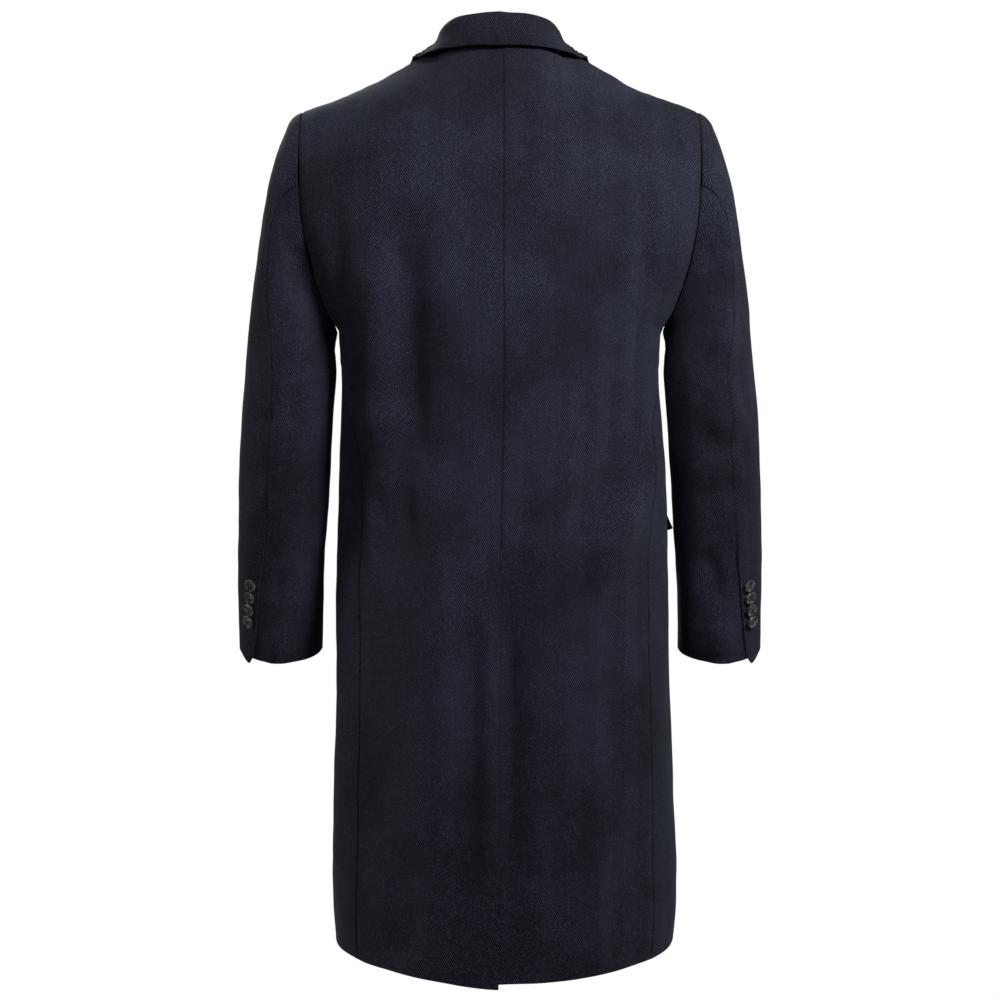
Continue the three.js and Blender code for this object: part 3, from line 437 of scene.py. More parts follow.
@dataclass
class Creases:
    """The folds and the gentle unevenness of cloth that hangs.

    Attributes:
        folds: troughs and ridges with a place of their own.
        ripple: height of the unevenness between them.
        wave: its length.
    """

    folds: Sequence[Fold] = field(default_factory=lambda: FOLDS + CREASES)
    ripple: float = 0.9
    wave: float = 118.0

    def depth(self, places: Points, normals: Points) -> Points:
        """How far the cloth stands out of its plain form.

        Args:
            places: points of the plain form.
            normals: their outward directions.

        Returns:
            Millimetres along the normals.
        """
        total = self.unevenness(places)
        for fold in self.folds:
            direction, a, b = fold.face.value
            facing = ease(normals @ np.array(direction), 0.1, 0.5)
            run = np.array([fold.a1 - fold.a0, fold.z1 - fold.z0])
            length = float(np.linalg.norm(run))
            off = places[..., [a, b]] - np.array([fold.a0, fold.z0])
            along = (off @ run) / length ** 2
            t = np.clip(along, 0.0, 1.0)
            across = (off[..., 0] * run[1] - off[..., 1] * run[0]) / length - fold.bow * 4 * t * (1 - t)
            past = (along - t) * length
            ends = ease(t, -0.02, 0.3) * ease(t, 1.02, 0.7)
            total += facing * fold.depth * ends * np.exp(-(across ** 2 + past ** 2) / fold.width ** 2)
        return total

    def unevenness(self, places: Points) -> Points:
        """Slow waves that never line up, the same at the same place."""
        x, y, z = (places[..., k] / self.wave * 2 * math.pi for k in range(3))
        slow = np.sin(1.3 * x + 0.4 * z + 1.1) * np.sin(0.55 * z - 0.9 * y + 0.4)
        quick = np.sin(2.9 * x - 0.7 * z + 1.9 * np.sin(0.31 * z)) * np.sin(1.6 * z + 1.2 * y + 2.0)
        return self.ripple * (0.7 * slow + 0.3 * quick)


@dataclass
class BodyRow:
    """One section of the body: half of it, from the centre back round to the front edge."""

    back: Path
    front: Path
    flat: Points
    edge: Points
    seam: float

    @property
    def before(self) -> float:
        """Length of the back curve that belongs to the front, past the side-back seam."""
        return (1 - self.seam) * self.back.length

    @property
    def length(self) -> float:
        """Width of the front at this section."""
        return self.before + self.front.length + float(np.linalg.norm(self.edge - self.flat))


@dataclass
class BodyForm:
    """Form of the body, worked out from the cut.

    The table of the skirt gives for each section the height at the side, half its width, how far it keeps
    straight at the side, half the distance between the side-back seams, the heights at the centre back and
    at the front, and how far the sides stand off to the wearer's left.

    Attributes:
        nape: depth and height of the neckline at the centre back.
        shoulder: outer end of the shoulder seam.
        arm_width: how far the armhole runs in from the shoulder to the underarm.
        arm_drop: its height.
        arm_depth: half its depth.
        arm_hook: how it bends over the shoulder.
        front_flat: from here to the edge the front is flat.
        sway_full: from here out the body has the whole sway.
        chest: fullness of the front.
    """

    nape: tuple[float, float] = (62.0, -8.0)
    shoulder: tuple[float, float] = (230.5, -76.0)
    arm_width: float = 41.5
    arm_drop: float = 258.0
    arm_depth: float = 74.0
    arm_hook: float = 3.3
    front_flat: float = 26.0
    sway_full: float = 165.0
    chest: float = 13.0
    rows: dict[float, BodyRow] = field(default_factory=dict)

    def __post_init__(self) -> None:
        """Reads the tables and draws the top edges."""
        self.skirt = Table("side", SKIRT)
        self.back_line = Table("z", BACK_LINE)
        self.front_edge = Table("z", FRONT_EDGE)
        self.tuck = Table("z", FRONT_TUCK)
        seam = Table("x", SHOULDER_SEAM)
        x = np.linspace(SHOULDER_SEAM[0].x, SHOULDER_SEAM[-1].x, 120)
        self.shoulder_seam = Path(np.stack([x, seam.read("y", x), seam.read("z", x)], axis=-1))
        y, z = self.nape
        self.neckline = Path.bezier(point(0, y, z), point(36, y, z), point(66, 34, -3), point(72, 4, 0))

    def armhole(self, angle: float, front: bool) -> Points:
        """Point of the armhole; angle 0 is the shoulder and 180 the underarm."""
        s = (1 - math.cos(math.radians(angle))) / 2
        y = self.arm_depth * math.sin(math.radians(angle))
        x, z = self.shoulder
        return point(x - self.arm_width * s ** self.arm_hook, -y if front else y, z - self.arm_drop * s)

    def edge_at(self, z: float) -> Points:
        """Point of the left front's edge at a height."""
        return point(float(self.front_edge.read("x", z)), float(self.front_edge.read("y", z)), z)

    def upper_row(self, share: float) -> BodyRow:
        """Section above the underarm; share is 0 at the shoulder and 1 at the underarm."""
        angle = 180 * share
        turn = math.radians(mix(4.0, 90.0, share ** 1.15))
        reach = mix(40.0, 79.0, share) + 27 * share ** 4
        dip = -0.38 * (1 - share) ** 2 * reach
        heading = point(math.cos(turn) * reach, -math.sin(turn) * reach, dip)
        back_end, front_start = self.armhole(angle, False), self.armhole(angle, True)
        back_z = mix(self.nape[1], SKIRT[0].back_z, share)
        centre = point(0, float(self.back_line.read("y", back_z)), back_z)
        inner = mix(0.45, 0.6, share) * back_end[0]
        back = Path.bezier(centre, point(inner, centre[1], mix(back_z, back_end[2], 0.2)),
                           back_end - heading, back_end)
        edge = self.edge_at(SKIRT[0].front_z * share ** 1.15)
        flat = point(max(edge[0], self.front_flat), edge[1], edge[2])
        handle = mix(0.45, 0.58, share) * (front_start[0] - flat[0])
        lift = self.chest * math.sin(math.pi * share)
        front = Path.bezier(
            front_start, front_start + point(-heading[0], heading[1], -dip),
            point(flat[0] + handle, edge[1] - lift, mix(edge[2], front_start[2], 0.2)), flat)
        return BodyRow(back, front, flat, edge, 1.0)

    def skirt_row(self, side: float) -> BodyRow:
        """Section below the underarm, by its height at the side."""
        columns = ("half", "square", "back_z", "front_z", "seam")
        half, square, back_z, front_z, seam = (float(self.skirt.read(column, side)) for column in columns)
        back_y = float(self.back_line.read("y", back_z))
        edge = self.edge_at(front_z)
        flat = point(max(edge[0], self.front_flat), edge[1], edge[2])
        at_side = point(half, 0, side)
        back = Path.bezier(point(0, back_y, back_z), point(0.6 * half, back_y, mix(back_z, side, 0.2)),
                           point(half, square * back_y, mix(back_z, side, 0.85)), at_side)
        front = Path.bezier(at_side, point(half, square * edge[1], mix(side, edge[2], 0.3)),
                            point(flat[0] + 0.58 * (half - flat[0]), edge[1], edge[2]), flat)
        share = float(np.interp(seam, back.points[:, 0], back.run)) / back.length
        return BodyRow(back, front, flat, edge, min(share, 1.0))

    def row(self, row: float) -> BodyRow:
        """Section by its row: 0 at the shoulder, 1 at the underarm, 2 at the hem."""
        key = round(float(row), 6)
        if key not in self.rows:
            self.rows[key] = self.upper_row(key) if key <= 1 else self.skirt_row(
                mix(UNDERARM, HEM_SIDE, key - 1))
        return self.rows[key]

    @staticmethod
    def top_pull(row: float) -> float:
        """How far a section near the shoulder leans towards the top edge."""
        return (1 - row / 0.5) ** 2 if row < 0.5 else 0.0

    def back_points(self, row: float, distance: Points) -> Points:
        """Points of the left half of the back, by their distance from the centre."""
        section = self.row(row)
        share = distance / section.back.length
        points = section.back.at(np.abs(share))
        points[:, 0] *= np.where(share < 0, -1.0, 1.0)
        pull = self.top_pull(row)
        if pull > 0:
            u = np.clip(share / section.seam, 0.0, 1.0)
            top = np.where((u <= NECK_SHARE)[:, None], self.neckline.at(u / NECK_SHARE),
                           self.shoulder_seam.at((u - NECK_SHARE) / (1 - NECK_SHARE)))
            points += pull * (top - self.row(0).back.at(u))
        return points

    def front_points(self, row: float, distance: Points) -> Points:
        """Points of the left front, by their distance from the armhole or side-back seam."""
        section = self.row(row)
        before, around = section.before, section.front.length
        share = np.clip((distance - before) / around, 0.0, 1.0)
        points = section.front.at(share)
        pull = self.top_pull(row)
        if pull > 0:
            points += pull * (self.shoulder_seam.at(1 - share) - self.row(0).front.at(share))
        if before > 0:
            on_back = section.back.at(mix(section.seam, 1.0, np.clip(distance / before, 0.0, 1.0)))
            points = np.where((distance < before)[:, None], on_back, points)
        lap = max(section.length - before - around, 1e-6)
        past = np.clip((distance - before - around) / lap, 0.0, 1.0)[:, None]
        on_lap = section.flat + (section.edge - section.flat) * past
        return np.where((distance > before + around)[:, None], on_lap, points)

    def settle(self, points: Points) -> Points:
        """Stands the body a little to one side and lets its centre seam wander."""
        out = np.minimum(np.abs(points[..., 0]) / self.sway_full, 1.0)
        sway = np.where(points[..., 2] < UNDERARM, self.skirt.read("sway", points[..., 2]), 0.0)
        wander = self.back_line.read("x", points[..., 2]) * ease(points[..., 1], 0, 60)
        moved = points.copy()
        moved[..., 0] += mix(wander, sway, out)
        return moved

    def front_side(self, row: float, distance: Points, side: Side) -> Points:
        """Points of one front, the right one pushed in under the left."""
        points = self.front_points(row, distance)
        if side is Side.RIGHT:
            points[:, 1] += self.tuck.read("push", points[:, 2]) * ease(points[:, 0], 78, 34)
        return self.settle(points * [side.value, 1, 1])

    def rows_down(self, step: float, start: float = 0.0, end: float = 2.0) -> Points:
        """Rows about step apart, closer together at both ends."""
        upper, skirt = 300.0, UNDERARM - HEM_SIDE

        def down(row: float) -> float:
            return row * upper if row <= 1 else upper + (row - 1) * skirt

        run = down(end) - down(start)
        distance = down(start) + spread(run, int(run / step), EDGE_STEPS)
        return np.where(distance <= upper, distance / upper, 1 + (distance - upper) / skirt)


@dataclass
class SleeveForm:
    """Form of the sleeves. The table gives the outer and the inner side of each ring, its middle and half
    depth, how it bends over the shoulder, how far its back hangs below its sides and the angle of the
    seam at the elbow side."""

    rings: Table = field(default_factory=lambda: Table("ring", SLEEVE))

    def points(self, ring: float, angle: Points) -> Points:
        """Points of one ring of the left sleeve; 0 degrees is the outer side and 90 the back."""
        out_x, out_z, in_x, in_z, mid_y, deep, hook, tilt = (
            float(self.rings.read(column, ring))
            for column in ("out_x", "out_z", "in_x", "in_z", "mid_y", "deep", "hook", "tilt"))
        turn = np.radians(np.asarray(angle, float))
        s, round_ = (1 - np.cos(turn)) / 2, np.sin(turn)
        return np.stack([mix(out_x, in_x, s ** hook), mid_y + deep * round_,
                         mix(out_z, in_z, s) - tilt * np.maximum(round_, 0)], axis=-1)

    def hind(self, ring: float) -> float:
        """Angle of the seam at the elbow side."""
        return float(self.rings.read("hind", ring))

    def angles(self, ring: float, start: float, end: float, count: int) -> tuple[Points, float]:
        """Angles of places along a ring, close together at both seams.

        Args:
            ring: the ring.
            start: angle of the first place.
            end: angle of the last one.
            count: even steps between.

        Returns:
            The angles, and the length round the ring between start and end.
        """
        fine = np.linspace(start, end, 181)
        path = Path(self.points(ring, fine))
        places = spread(path.length, count, EDGE_STEPS)
        return np.interp(places, path.run, fine), path.length

    def rings_down(self, step: float) -> Points:
        """Rings about step apart down the middle of the sleeve, closer together at both ends."""
        fine = np.linspace(0, 15, 600)
        path = Path(np.array([self.points(ring, np.array([30.0]))[0] for ring in fine]))
        return np.interp(spread(path.length, int(path.length / step), EDGE_STEPS), path.run, fine)


# Finishes


@dataclass(frozen=True)
class Nodes:
    """Short ways to add and join nodes in one tree."""

    tree: bpy.types.NodeTree

    def add(self, kind: str, **settings) -> bpy.types.Node:
        """Adds a node and sets its properties."""
        node = self.tree.nodes.new(kind)
        for name, value in settings.items():
            setattr(node, name, value)
        return node

    def put(self, socket: bpy.types.NodeSocket, value) -> None:
        """Joins an output to an input, or sets the input."""
        if isinstance(value, bpy.types.NodeSocket):
            self.tree.links.new(value, socket)
        else:
            socket.default_value = value

    def math(self, operation: str, a, b=0.0, c=None) -> bpy.types.NodeSocket:
        """A sum of one to three values."""
        node = self.add("ShaderNodeMath", operation=operation)
        for socket, value in zip(node.inputs, (a, b, c)):
            if value is not None:
                self.put(socket, value)
        return node.outputs[0]

    def blend(self, share, a, b) -> bpy.types.NodeSocket:
        """A colour between a and b."""
        node = self.add("ShaderNodeMix", data_type="RGBA")
        for socket, value in ((node.inputs["Factor"], share), (node.inputs[6], a), (node.inputs[7], b)):
            self.put(socket, value)
        return node.outputs[2]

    def noise(self, vector, scale: float, detail: float = 2.0,
              roughness: float = 0.5) -> bpy.types.NodeSocket:
        """Cloudy noise from 0 to 1."""
        node = self.add("ShaderNodeTexNoise")
        self.put(node.inputs["Vector"], vector)
        for name, value in (("Scale", scale), ("Detail", detail), ("Roughness", roughness)):
            node.inputs[name].default_value = value
        return node.outputs["Fac"]

    def ramp(self, value, low: float, high: float) -> bpy.types.NodeSocket:
        """Goes from 0 at low to 1 at high, smoothly."""
        node = self.add("ShaderNodeMapRange", interpolation_type="SMOOTHSTEP")
        self.put(node.inputs["Value"], value)
        self.put(node.inputs["From Min"], low)
        self.put(node.inputs["From Max"], high)
        return node.outputs["Result"]


def new_group(name: str, inputs: Sequence[tuple[str, str, object]],
              outputs: Sequence[tuple[str, str]]) -> tuple[bpy.types.NodeTree, Nodes, object, object]:
    """Makes an empty shader group.

    Args:
        name: name of the group.
        inputs: name, socket type and default of each input.
        outputs: name and socket type of each output.

    Returns:
        The tree, its node maker, and the sockets that stand for its inputs and outputs.
    """
    tree = bpy.data.node_groups.new(name, "ShaderNodeTree")
    for label, kind, default in inputs:
        socket = tree.interface.new_socket(label, in_out="INPUT", socket_type=kind)
        if default is not None:
            socket.default_value = default
    for label, kind in outputs:
        tree.interface.new_socket(label, in_out="OUTPUT", socket_type=kind)
    nodes = Nodes(tree)
    return tree, nodes, nodes.add("NodeGroupInput").outputs, nodes.add("NodeGroupOutput").inputs


def herringbone_group() -> bpy.types.NodeTree:
    """The weave: twill ribs that turn round from one column to the next.

    Returns:
        A group from the cloth's own place (metres) and its sizes to the ribs, from 0 to 1, and the
        light of the column.
    """
    tree, nodes, given, out = new_group(
        "herringbone",
        [("Cloth", "NodeSocketVector", None), ("Column", "NodeSocketFloat", 0.0175),
         ("Rise", "NodeSocketFloat", 1.8), ("Pitch", "NodeSocketFloat", 0.0048),
         ("Waver", "NodeSocketFloat", 0.0)],
        [("Rib", "NodeSocketFloat"), ("Column Light", "NodeSocketFloat")])
    split = nodes.add("ShaderNodeSeparateXYZ")
    nodes.put(split.inputs[0], given["Cloth"])
    across, down = split.outputs[0], split.outputs[1]
    column = nodes.math("DIVIDE", across, given["Column"])
    number = nodes.math("FLOOR", column)
    inside = nodes.math("FRACT", column)
    parity = nodes.math("FLOORED_MODULO", number, 2.0)
    way = nodes.math("MULTIPLY_ADD", parity, 2.0, -1.0)
    climb = nodes.math("MULTIPLY", nodes.math("MULTIPLY", inside, given["Column"]), given["Rise"])
    place = nodes.math("ADD", down, nodes.math("MULTIPLY", climb, way))
    broken = nodes.math("MULTIPLY_ADD", nodes.math("MULTIPLY", number, 0.5), given["Pitch"], place)
    phase = nodes.math("ADD", nodes.math("DIVIDE", broken, given["Pitch"]), given["Waver"])
    wave = nodes.math("SINE", nodes.math("MULTIPLY", phase, 2 * math.pi))
    nodes.put(out["Rib"], nodes.math("MULTIPLY_ADD", wave, 0.5, 0.5))
    nodes.put(out["Column Light"], parity)
    return tree


def nap_group() -> bpy.types.NodeTree:
    """Short fulled fibres: a fine fuzz, flecks of lighter fibre and slow clouds of wear.

    Returns:
        A group from a place in metres to Fuzz, Fleck and Cloud, each from 0 to 1.
    """
    tree, nodes, given, out = new_group(
        "nap", [("Place", "NodeSocketVector", None)],
        [("Fuzz", "NodeSocketFloat"), ("Fleck", "NodeSocketFloat"), ("Cloud", "NodeSocketFloat")])
    nodes.put(out["Fuzz"], nodes.noise(given["Place"], 950.0, 3.0, 0.65))
    fleck = nodes.noise(given["Place"], 620.0, 2.0, 0.7)
    nodes.put(out["Fleck"], nodes.ramp(fleck, 0.48, 0.74))
    nodes.put(out["Cloud"], nodes.noise(given["Place"], 9.0, 3.0, 0.55))
    return tree


def new_material(name: str) -> tuple[bpy.types.Material, Nodes, bpy.types.Node]:
    """Makes a material with one Principled shader.

    Args:
        name: name of the material.

    Returns:
        The material, its node maker and the shader.
    """
    material = bpy.data.materials.new(name)
    material.use_nodes = True
    nodes = Nodes(material.node_tree)
    return material, nodes, material.node_tree.nodes["Principled BSDF"]


@dataclass(frozen=True)
class WoolFinish:
    """Fulled herringbone wool.

    Attributes:
        name: name of the material.
        dark: ground colour, between the ribs.
        light: colour of the ribs.
        column: width of one column of the herringbone.
        pitch: height from rib to rib.
        rise: how steep the ribs are.
        sheen: strength of the nap's sheen.
    """

    name: str
    dark: tuple[float, float, float]
    light: tuple[float, float, float]
    column: float = 0.0175
    pitch: float = 0.0044
    rise: float = 1.8
    sheen: float = 0.10

    def build(self, weave: bpy.types.NodeTree, nap: bpy.types.NodeTree) -> bpy.types.Material:
        """Makes the material.

        Args:
            weave: the herringbone group.
            nap: the nap group.

        Returns:
            The material.
        """
        material, nodes, shader = new_material(self.name)
        cloth = nodes.add("ShaderNodeUVMap", uv_map="cloth").outputs[0]
        place = nodes.add("ShaderNodeTexCoord").outputs["Object"]
        fibres = nodes.add("ShaderNodeGroup", node_tree=nap)
        nodes.put(fibres.inputs["Place"], place)
        ribs = nodes.add("ShaderNodeGroup", node_tree=weave)
        nodes.put(ribs.inputs["Cloth"], cloth)
        for name, value in (("Column", self.column), ("Pitch", self.pitch), ("Rise", self.rise)):
            ribs.inputs[name].default_value = value
        nodes.put(ribs.inputs["Waver"], nodes.math("MULTIPLY", nodes.noise(place, 45.0, 2.0), 0.5))
        rib = nodes.ramp(ribs.outputs["Rib"], 0.4, 0.88)
        worn = nodes.math("MULTIPLY_ADD", fibres.outputs["Cloud"], 0.9, 0.35)
        turned = nodes.math("MULTIPLY_ADD", ribs.outputs["Column Light"], 0.12, 0.82)
        faded = nodes.math("MULTIPLY", rib, nodes.math("MULTIPLY", worn, turned))
        woven = nodes.blend(faded, (*self.dark, 1), (*self.light, 1))
        pale = tuple(2.2 * c for c in self.light)
        flecked = nodes.blend(nodes.math("MULTIPLY", fibres.outputs["Fleck"], 0.5), woven, (*pale, 1))
        deep = tuple(0.72 * c for c in self.dark)
        shade = nodes.math("MULTIPLY", nodes.ramp(fibres.outputs["Cloud"], 0.62, 0.3), 0.4)
        shaded = nodes.blend(shade, flecked, (*deep, 1))
        # Painted shade, with some lint, in the seam grooves: the colour darkens towards each seam line.
        seam = nodes.add("ShaderNodeAttribute", attribute_name="seam").outputs["Fac"]
        seam_shade_colour = tuple(0.4 * c for c in self.dark)
        sewn = nodes.blend(nodes.math("MULTIPLY", seam, 0.5), shaded, (*seam_shade_colour, 1))
        nodes.put(shader.inputs["Base Color"], sewn)
        rough = nodes.math("MULTIPLY_ADD", fibres.outputs["Fuzz"], 0.12, 0.82)
        nodes.put(shader.inputs["Roughness"], rough)
        shader.inputs["Specular IOR Level"].default_value = 0.22
        shader.inputs["Sheen Weight"].default_value = self.sheen
        shader.inputs["Sheen Roughness"].default_value = 0.55
        shader.inputs["Sheen Tint"].default_value = (0.62, 0.68, 0.86, 1)
        height = nodes.math("MULTIPLY_ADD", fibres.outputs["Fuzz"], 0.55, nodes.math("MULTIPLY", rib, 0.6))
        bump = nodes.add("ShaderNodeBump")
        bump.inputs["Strength"].default_value = 0.8
        bump.inputs["Distance"].default_value = 0.0008
        nodes.put(bump.inputs["Height"], height)
        nodes.put(shader.inputs["Normal"], bump.outputs[0])
        return material


@dataclass(frozen=True)
class HornFinish:
    """Dark mottled horn with a finely uneven polish under a thin coat.

    Attributes:
        name: name of the material.
        dark: main colour.
        streak: colour of the lighter streaks.
    """

    name: str = "mottled_horn"
    dark: tuple[float, float, float] = (0.050, 0.050, 0.054)
    streak: tuple[float, float, float] = (0.420, 0.410, 0.400)

    def build(self) -> bpy.types.Material:
        """Makes the material."""
        material, nodes, shader = new_material(self.name)
        place = nodes.add("ShaderNodeTexCoord").outputs["Object"]
        stretch = nodes.add("ShaderNodeMapping")
        stretch.inputs["Scale"].default_value = (1.0, 1.0, 0.45)
        nodes.put(stretch.inputs["Vector"], place)
        streaks = nodes.ramp(nodes.noise(stretch.outputs[0], 330.0, 4.0, 0.6), 0.42, 0.72)
        nodes.put(shader.inputs["Base Color"], nodes.blend(streaks, (*self.dark, 1), (*self.streak, 1)))
        rough = nodes.math("MULTIPLY_ADD", nodes.noise(place, 1400.0, 2.0), 0.22, 0.2)
        nodes.put(shader.inputs["Roughness"], rough)
        shader.inputs["Coat Weight"].default_value = 0.35
        shader.inputs["Coat Roughness"].default_value = 0.16
        return material


@dataclass(frozen=True)
class ThreadFinish:
    """Twisted sewing thread.

    Attributes:
        name: name of the material.
        colour: its colour.
    """

    name: str = "navy_thread"
    colour: tuple[float, float, float] = (0.016, 0.018, 0.030)

    def build(self) -> bpy.types.Material:
        """Makes the material."""
        material, nodes, shader = new_material(self.name)
        place = nodes.add("ShaderNodeTexCoord").outputs["Object"]
        twist = nodes.noise(place, 1900.0, 2.0)
        light = tuple(2.4 * c for c in self.colour)
        nodes.put(shader.inputs["Base Color"], nodes.blend(twist, (*self.colour, 1), (*light, 1)))
        nodes.put(shader.inputs["Roughness"], nodes.math("MULTIPLY_ADD", twist, 0.2, 0.6))
        bump = nodes.add("ShaderNodeBump")
        bump.inputs["Strength"].default_value = 0.6
        bump.inputs["Distance"].default_value = 0.0002
        nodes.put(bump.inputs["Height"], twist)
        nodes.put(shader.inputs["Normal"], bump.outputs[0])
        return material


@dataclass(frozen=True)
class Finishes:
    """The coat's finished materials."""

    wool: bpy.types.Material
    # the fall's wool, a darker copy of the coat's wool as painted shade
    collar: bpy.types.Material
    under: bpy.types.Material
    horn: bpy.types.Material
    thread: bpy.types.Material

    @staticmethod
    def build() -> "Finishes":
        """Makes the shared groups and every material."""
        weave, nap = herringbone_group(), nap_group()
        wool = WoolFinish("herringbone_wool", (0.0020, 0.0022, 0.0052), (0.0560, 0.0610, 0.1040))
        # The fall's wool is the coat's wool made darker: painted shade, as the fall faces down and gets less
        # light.
        collar = WoolFinish("collar_wool_painted_shade", (0.0018, 0.0019, 0.0044), (0.0430, 0.0470, 0.0810))
        under = WoolFinish("undercollar_wool", (0.0080, 0.0085, 0.0140), (0.0190, 0.0200, 0.0330),
                           pitch=0.0026)
        return Finishes(wool.build(weave, nap), collar.build(weave, nap), under.build(weave, nap),
                        HornFinish().build(), ThreadFinish().build())


# Cloth

EDGE_ROUND = 0.48            # radius of a folded edge, as a share of the thickness
GROOVE = 3.4                 # width of the groove at a seam
ALLOWANCE = 12.0             # width of the seam allowances inside the coat
ALLOWANCE_THICK = 0.9
RUN_UNDER = 7.0              # width of the inner face that runs on at a seam
SEAM_SHADE = 1.5             # width of the painted shade line at a seam, with some lint


@dataclass(frozen=True)
class Edges:
    """How the four edges of a piece are finished: 1 where it is sewn in, 0 where it is folded.

    Left and right are the first and last column, top and bottom the first and last row. Each is one
    number or one for each place along the edge. At a seam the inner face of one piece runs on under the
    other, so that no light gets through: under names the edges where this piece does, and over those
    where it stops short.
    """

    left: object = 1.0
    right: object = 1.0
    top: object = 1.0
    bottom: object = 0.0
    under: Sequence[str] = ()
    over: Sequence[str] = ()


@dataclass
class Cloth:
    """One cut piece of cloth.

    Attributes:
        name: name of the piece.
        node: the node that it stands for.
        grid: rows and columns of points on its outer face, in millimetres.
        turn: 1 or -1, so that its normals point out of the coat.
        cloth_u: for each point, the place across the grain.
        edges: how its edges are finished.
        flat: width and length that it was cut to, in metres; not used.
        area: flat area, in square metres; not used.
        held: how it is held; not used.
        rests_on: pieces that it lies on.
        thick: thickness of the cloth.
        hem: depth of the turned-up hem inside the bottom edge.
        hem_thick: how much thicker the hem is.
        lap: columns where the hem is thinned, because another piece lies under or over them.
        pucker: height of the puckers along the seams.
        seam_dip: depth of the groove at a seam.
        slant: how far the inner face runs on under the neighbour at a seam.
        slot: name of a material slot for it; not used.
    """

    name: str
    node: str
    grid: Points
    turn: int
    cloth_u: Points
    edges: Edges
    flat: tuple[float, float]
    area: float
    held: str = "hung"
    rests_on: Sequence[str] = ()
    thick: float = 1.9
    hem: float = 0.0
    hem_thick: float = 1.3
    lap: object = 0.0
    pucker: float = 0.32
    seam_dip: float = 1.0
    slant: float = 1.5
    slot: str = "overcoat_cloth"

    def normals(self) -> Points:
        """Outward normals of the grid."""
        return outward(self.grid, self.turn)

    def distances(self) -> dict[str, Points]:
        """Distance of every point from each edge, along the cloth."""
        rows = np.linalg.norm(np.diff(self.grid, axis=0), axis=2)
        columns = np.linalg.norm(np.diff(self.grid, axis=1), axis=2)
        top = np.concatenate([np.zeros((1, rows.shape[1])), np.cumsum(rows, axis=0)])
        left = np.concatenate([np.zeros((columns.shape[0], 1)), np.cumsum(columns, axis=1)], axis=1)
        return {"top": top, "bottom": top[-1:] - top, "left": left, "right": left[:, -1:] - left}

    def weights(self) -> dict[str, Points]:
        """The finish of each edge, spread over the grid."""
        rows, columns = self.grid.shape[:2]
        along_rows = {"left": self.edges.left, "right": self.edges.right}
        along_columns = {"top": self.edges.top, "bottom": self.edges.bottom}
        spread_out = {name: np.broadcast_to(np.reshape(value, (-1, 1)), (rows, columns))
                      for name, value in along_rows.items()}
        spread_out.update({name: np.broadcast_to(np.reshape(value, (1, -1)), (rows, columns))
                           for name, value in along_columns.items()})
        return spread_out

    def crease(self, creases: Creases) -> None:
        """Presses the folds and the puckers along the seams into the grid."""
        normals = self.normals()
        depth = creases.depth(self.grid, normals)
        distance, weight = self.distances(), self.weights()
        for name, other in (("left", "top"), ("right", "top"), ("top", "left"), ("bottom", "left")):
            along = distance[other]
            wave = np.sin(along / 3.6 + 1.9 * np.sin(along / 17.0)) + 0.7 * np.sin(along / 8.3 + 1.0)
            near = np.exp(-(distance[name] / 9.0) ** 2) * ease(distance[name], 0.0, 2.4)
            depth = depth + self.pucker * weight[name] * wave * near
        self.grid = self.grid + normals * depth[..., None]

    def shell(self) -> tuple[Points, Points]:
        """Outer and inner face of the finished cloth.

        Returns:
            The points of each face, rows by columns, in millimetres.
        """
        normals = self.normals()
        distance, weight = self.distances(), self.weights()
        thick = np.full(self.grid.shape[:2], self.thick)
        if self.hem:
            turned = ease(distance["bottom"], self.hem + 1.5, self.hem) * (1 - np.asarray(self.lap))
            thick = thick + self.hem_thick * turned
        radius = EDGE_ROUND * thick
        outer, inner = np.zeros_like(thick), np.zeros_like(thick)
        for name in ("left", "right", "top", "bottom"):
            gap = radius - np.minimum(distance[name], radius)
            rounding = radius - np.sqrt(np.maximum(radius ** 2 - gap ** 2, 0))
            sewn = self.seam_dip * (1 - np.minimum(distance[name] / GROOVE, 1)) ** 2
            outer = np.maximum(outer, mix(rounding, sewn, weight[name]))
            inner = np.maximum(inner, mix(rounding, 0.0, weight[name]))
        allowance = np.max([weight[name] * ease(distance[name], ALLOWANCE + 0.6, ALLOWANCE - 0.6)
                            for name in ("left", "right")], axis=0)
        thick = thick + ALLOWANCE_THICK * allowance * (1 - np.asarray(self.lap))
        outer_face = self.grid - normals * outer[..., None]
        inner_face = self.grid - normals * (thick - inner)[..., None]
        down, along = unit(np.gradient(self.grid, axis=0)), unit(np.gradient(self.grid, axis=1))
        outwards = {"left": -along, "right": along, "top": -down, "bottom": down}
        for names, way in ((self.edges.under, 1), (self.edges.over, -1)):
            for name in names:
                near = np.clip(1 - distance[name] / RUN_UNDER, 0, 1) ** 2
                run_on = self.slant * way * weight[name] * near
                inner_face = inner_face + outwards[name] * run_on[..., None]
        return outer_face, inner_face

    def seams(self) -> Points:
        """How near every point is to a seam, the mask of the painted shade and lint there: 1 on it, 0 a few
        millimetres away.
        """
        distance, weight = self.distances(), self.weights()
        return np.max([weight[name] * np.exp(-(distance[name] / SEAM_SHADE) ** 2) for name in distance],
                      axis=0)

    def cloth_map(self) -> Points:
        """The cloth's own place of every point, across and along the grain, in metres."""
        along = self.distances()["bottom"]
        return np.stack([self.cloth_u, along], axis=-1) * MM

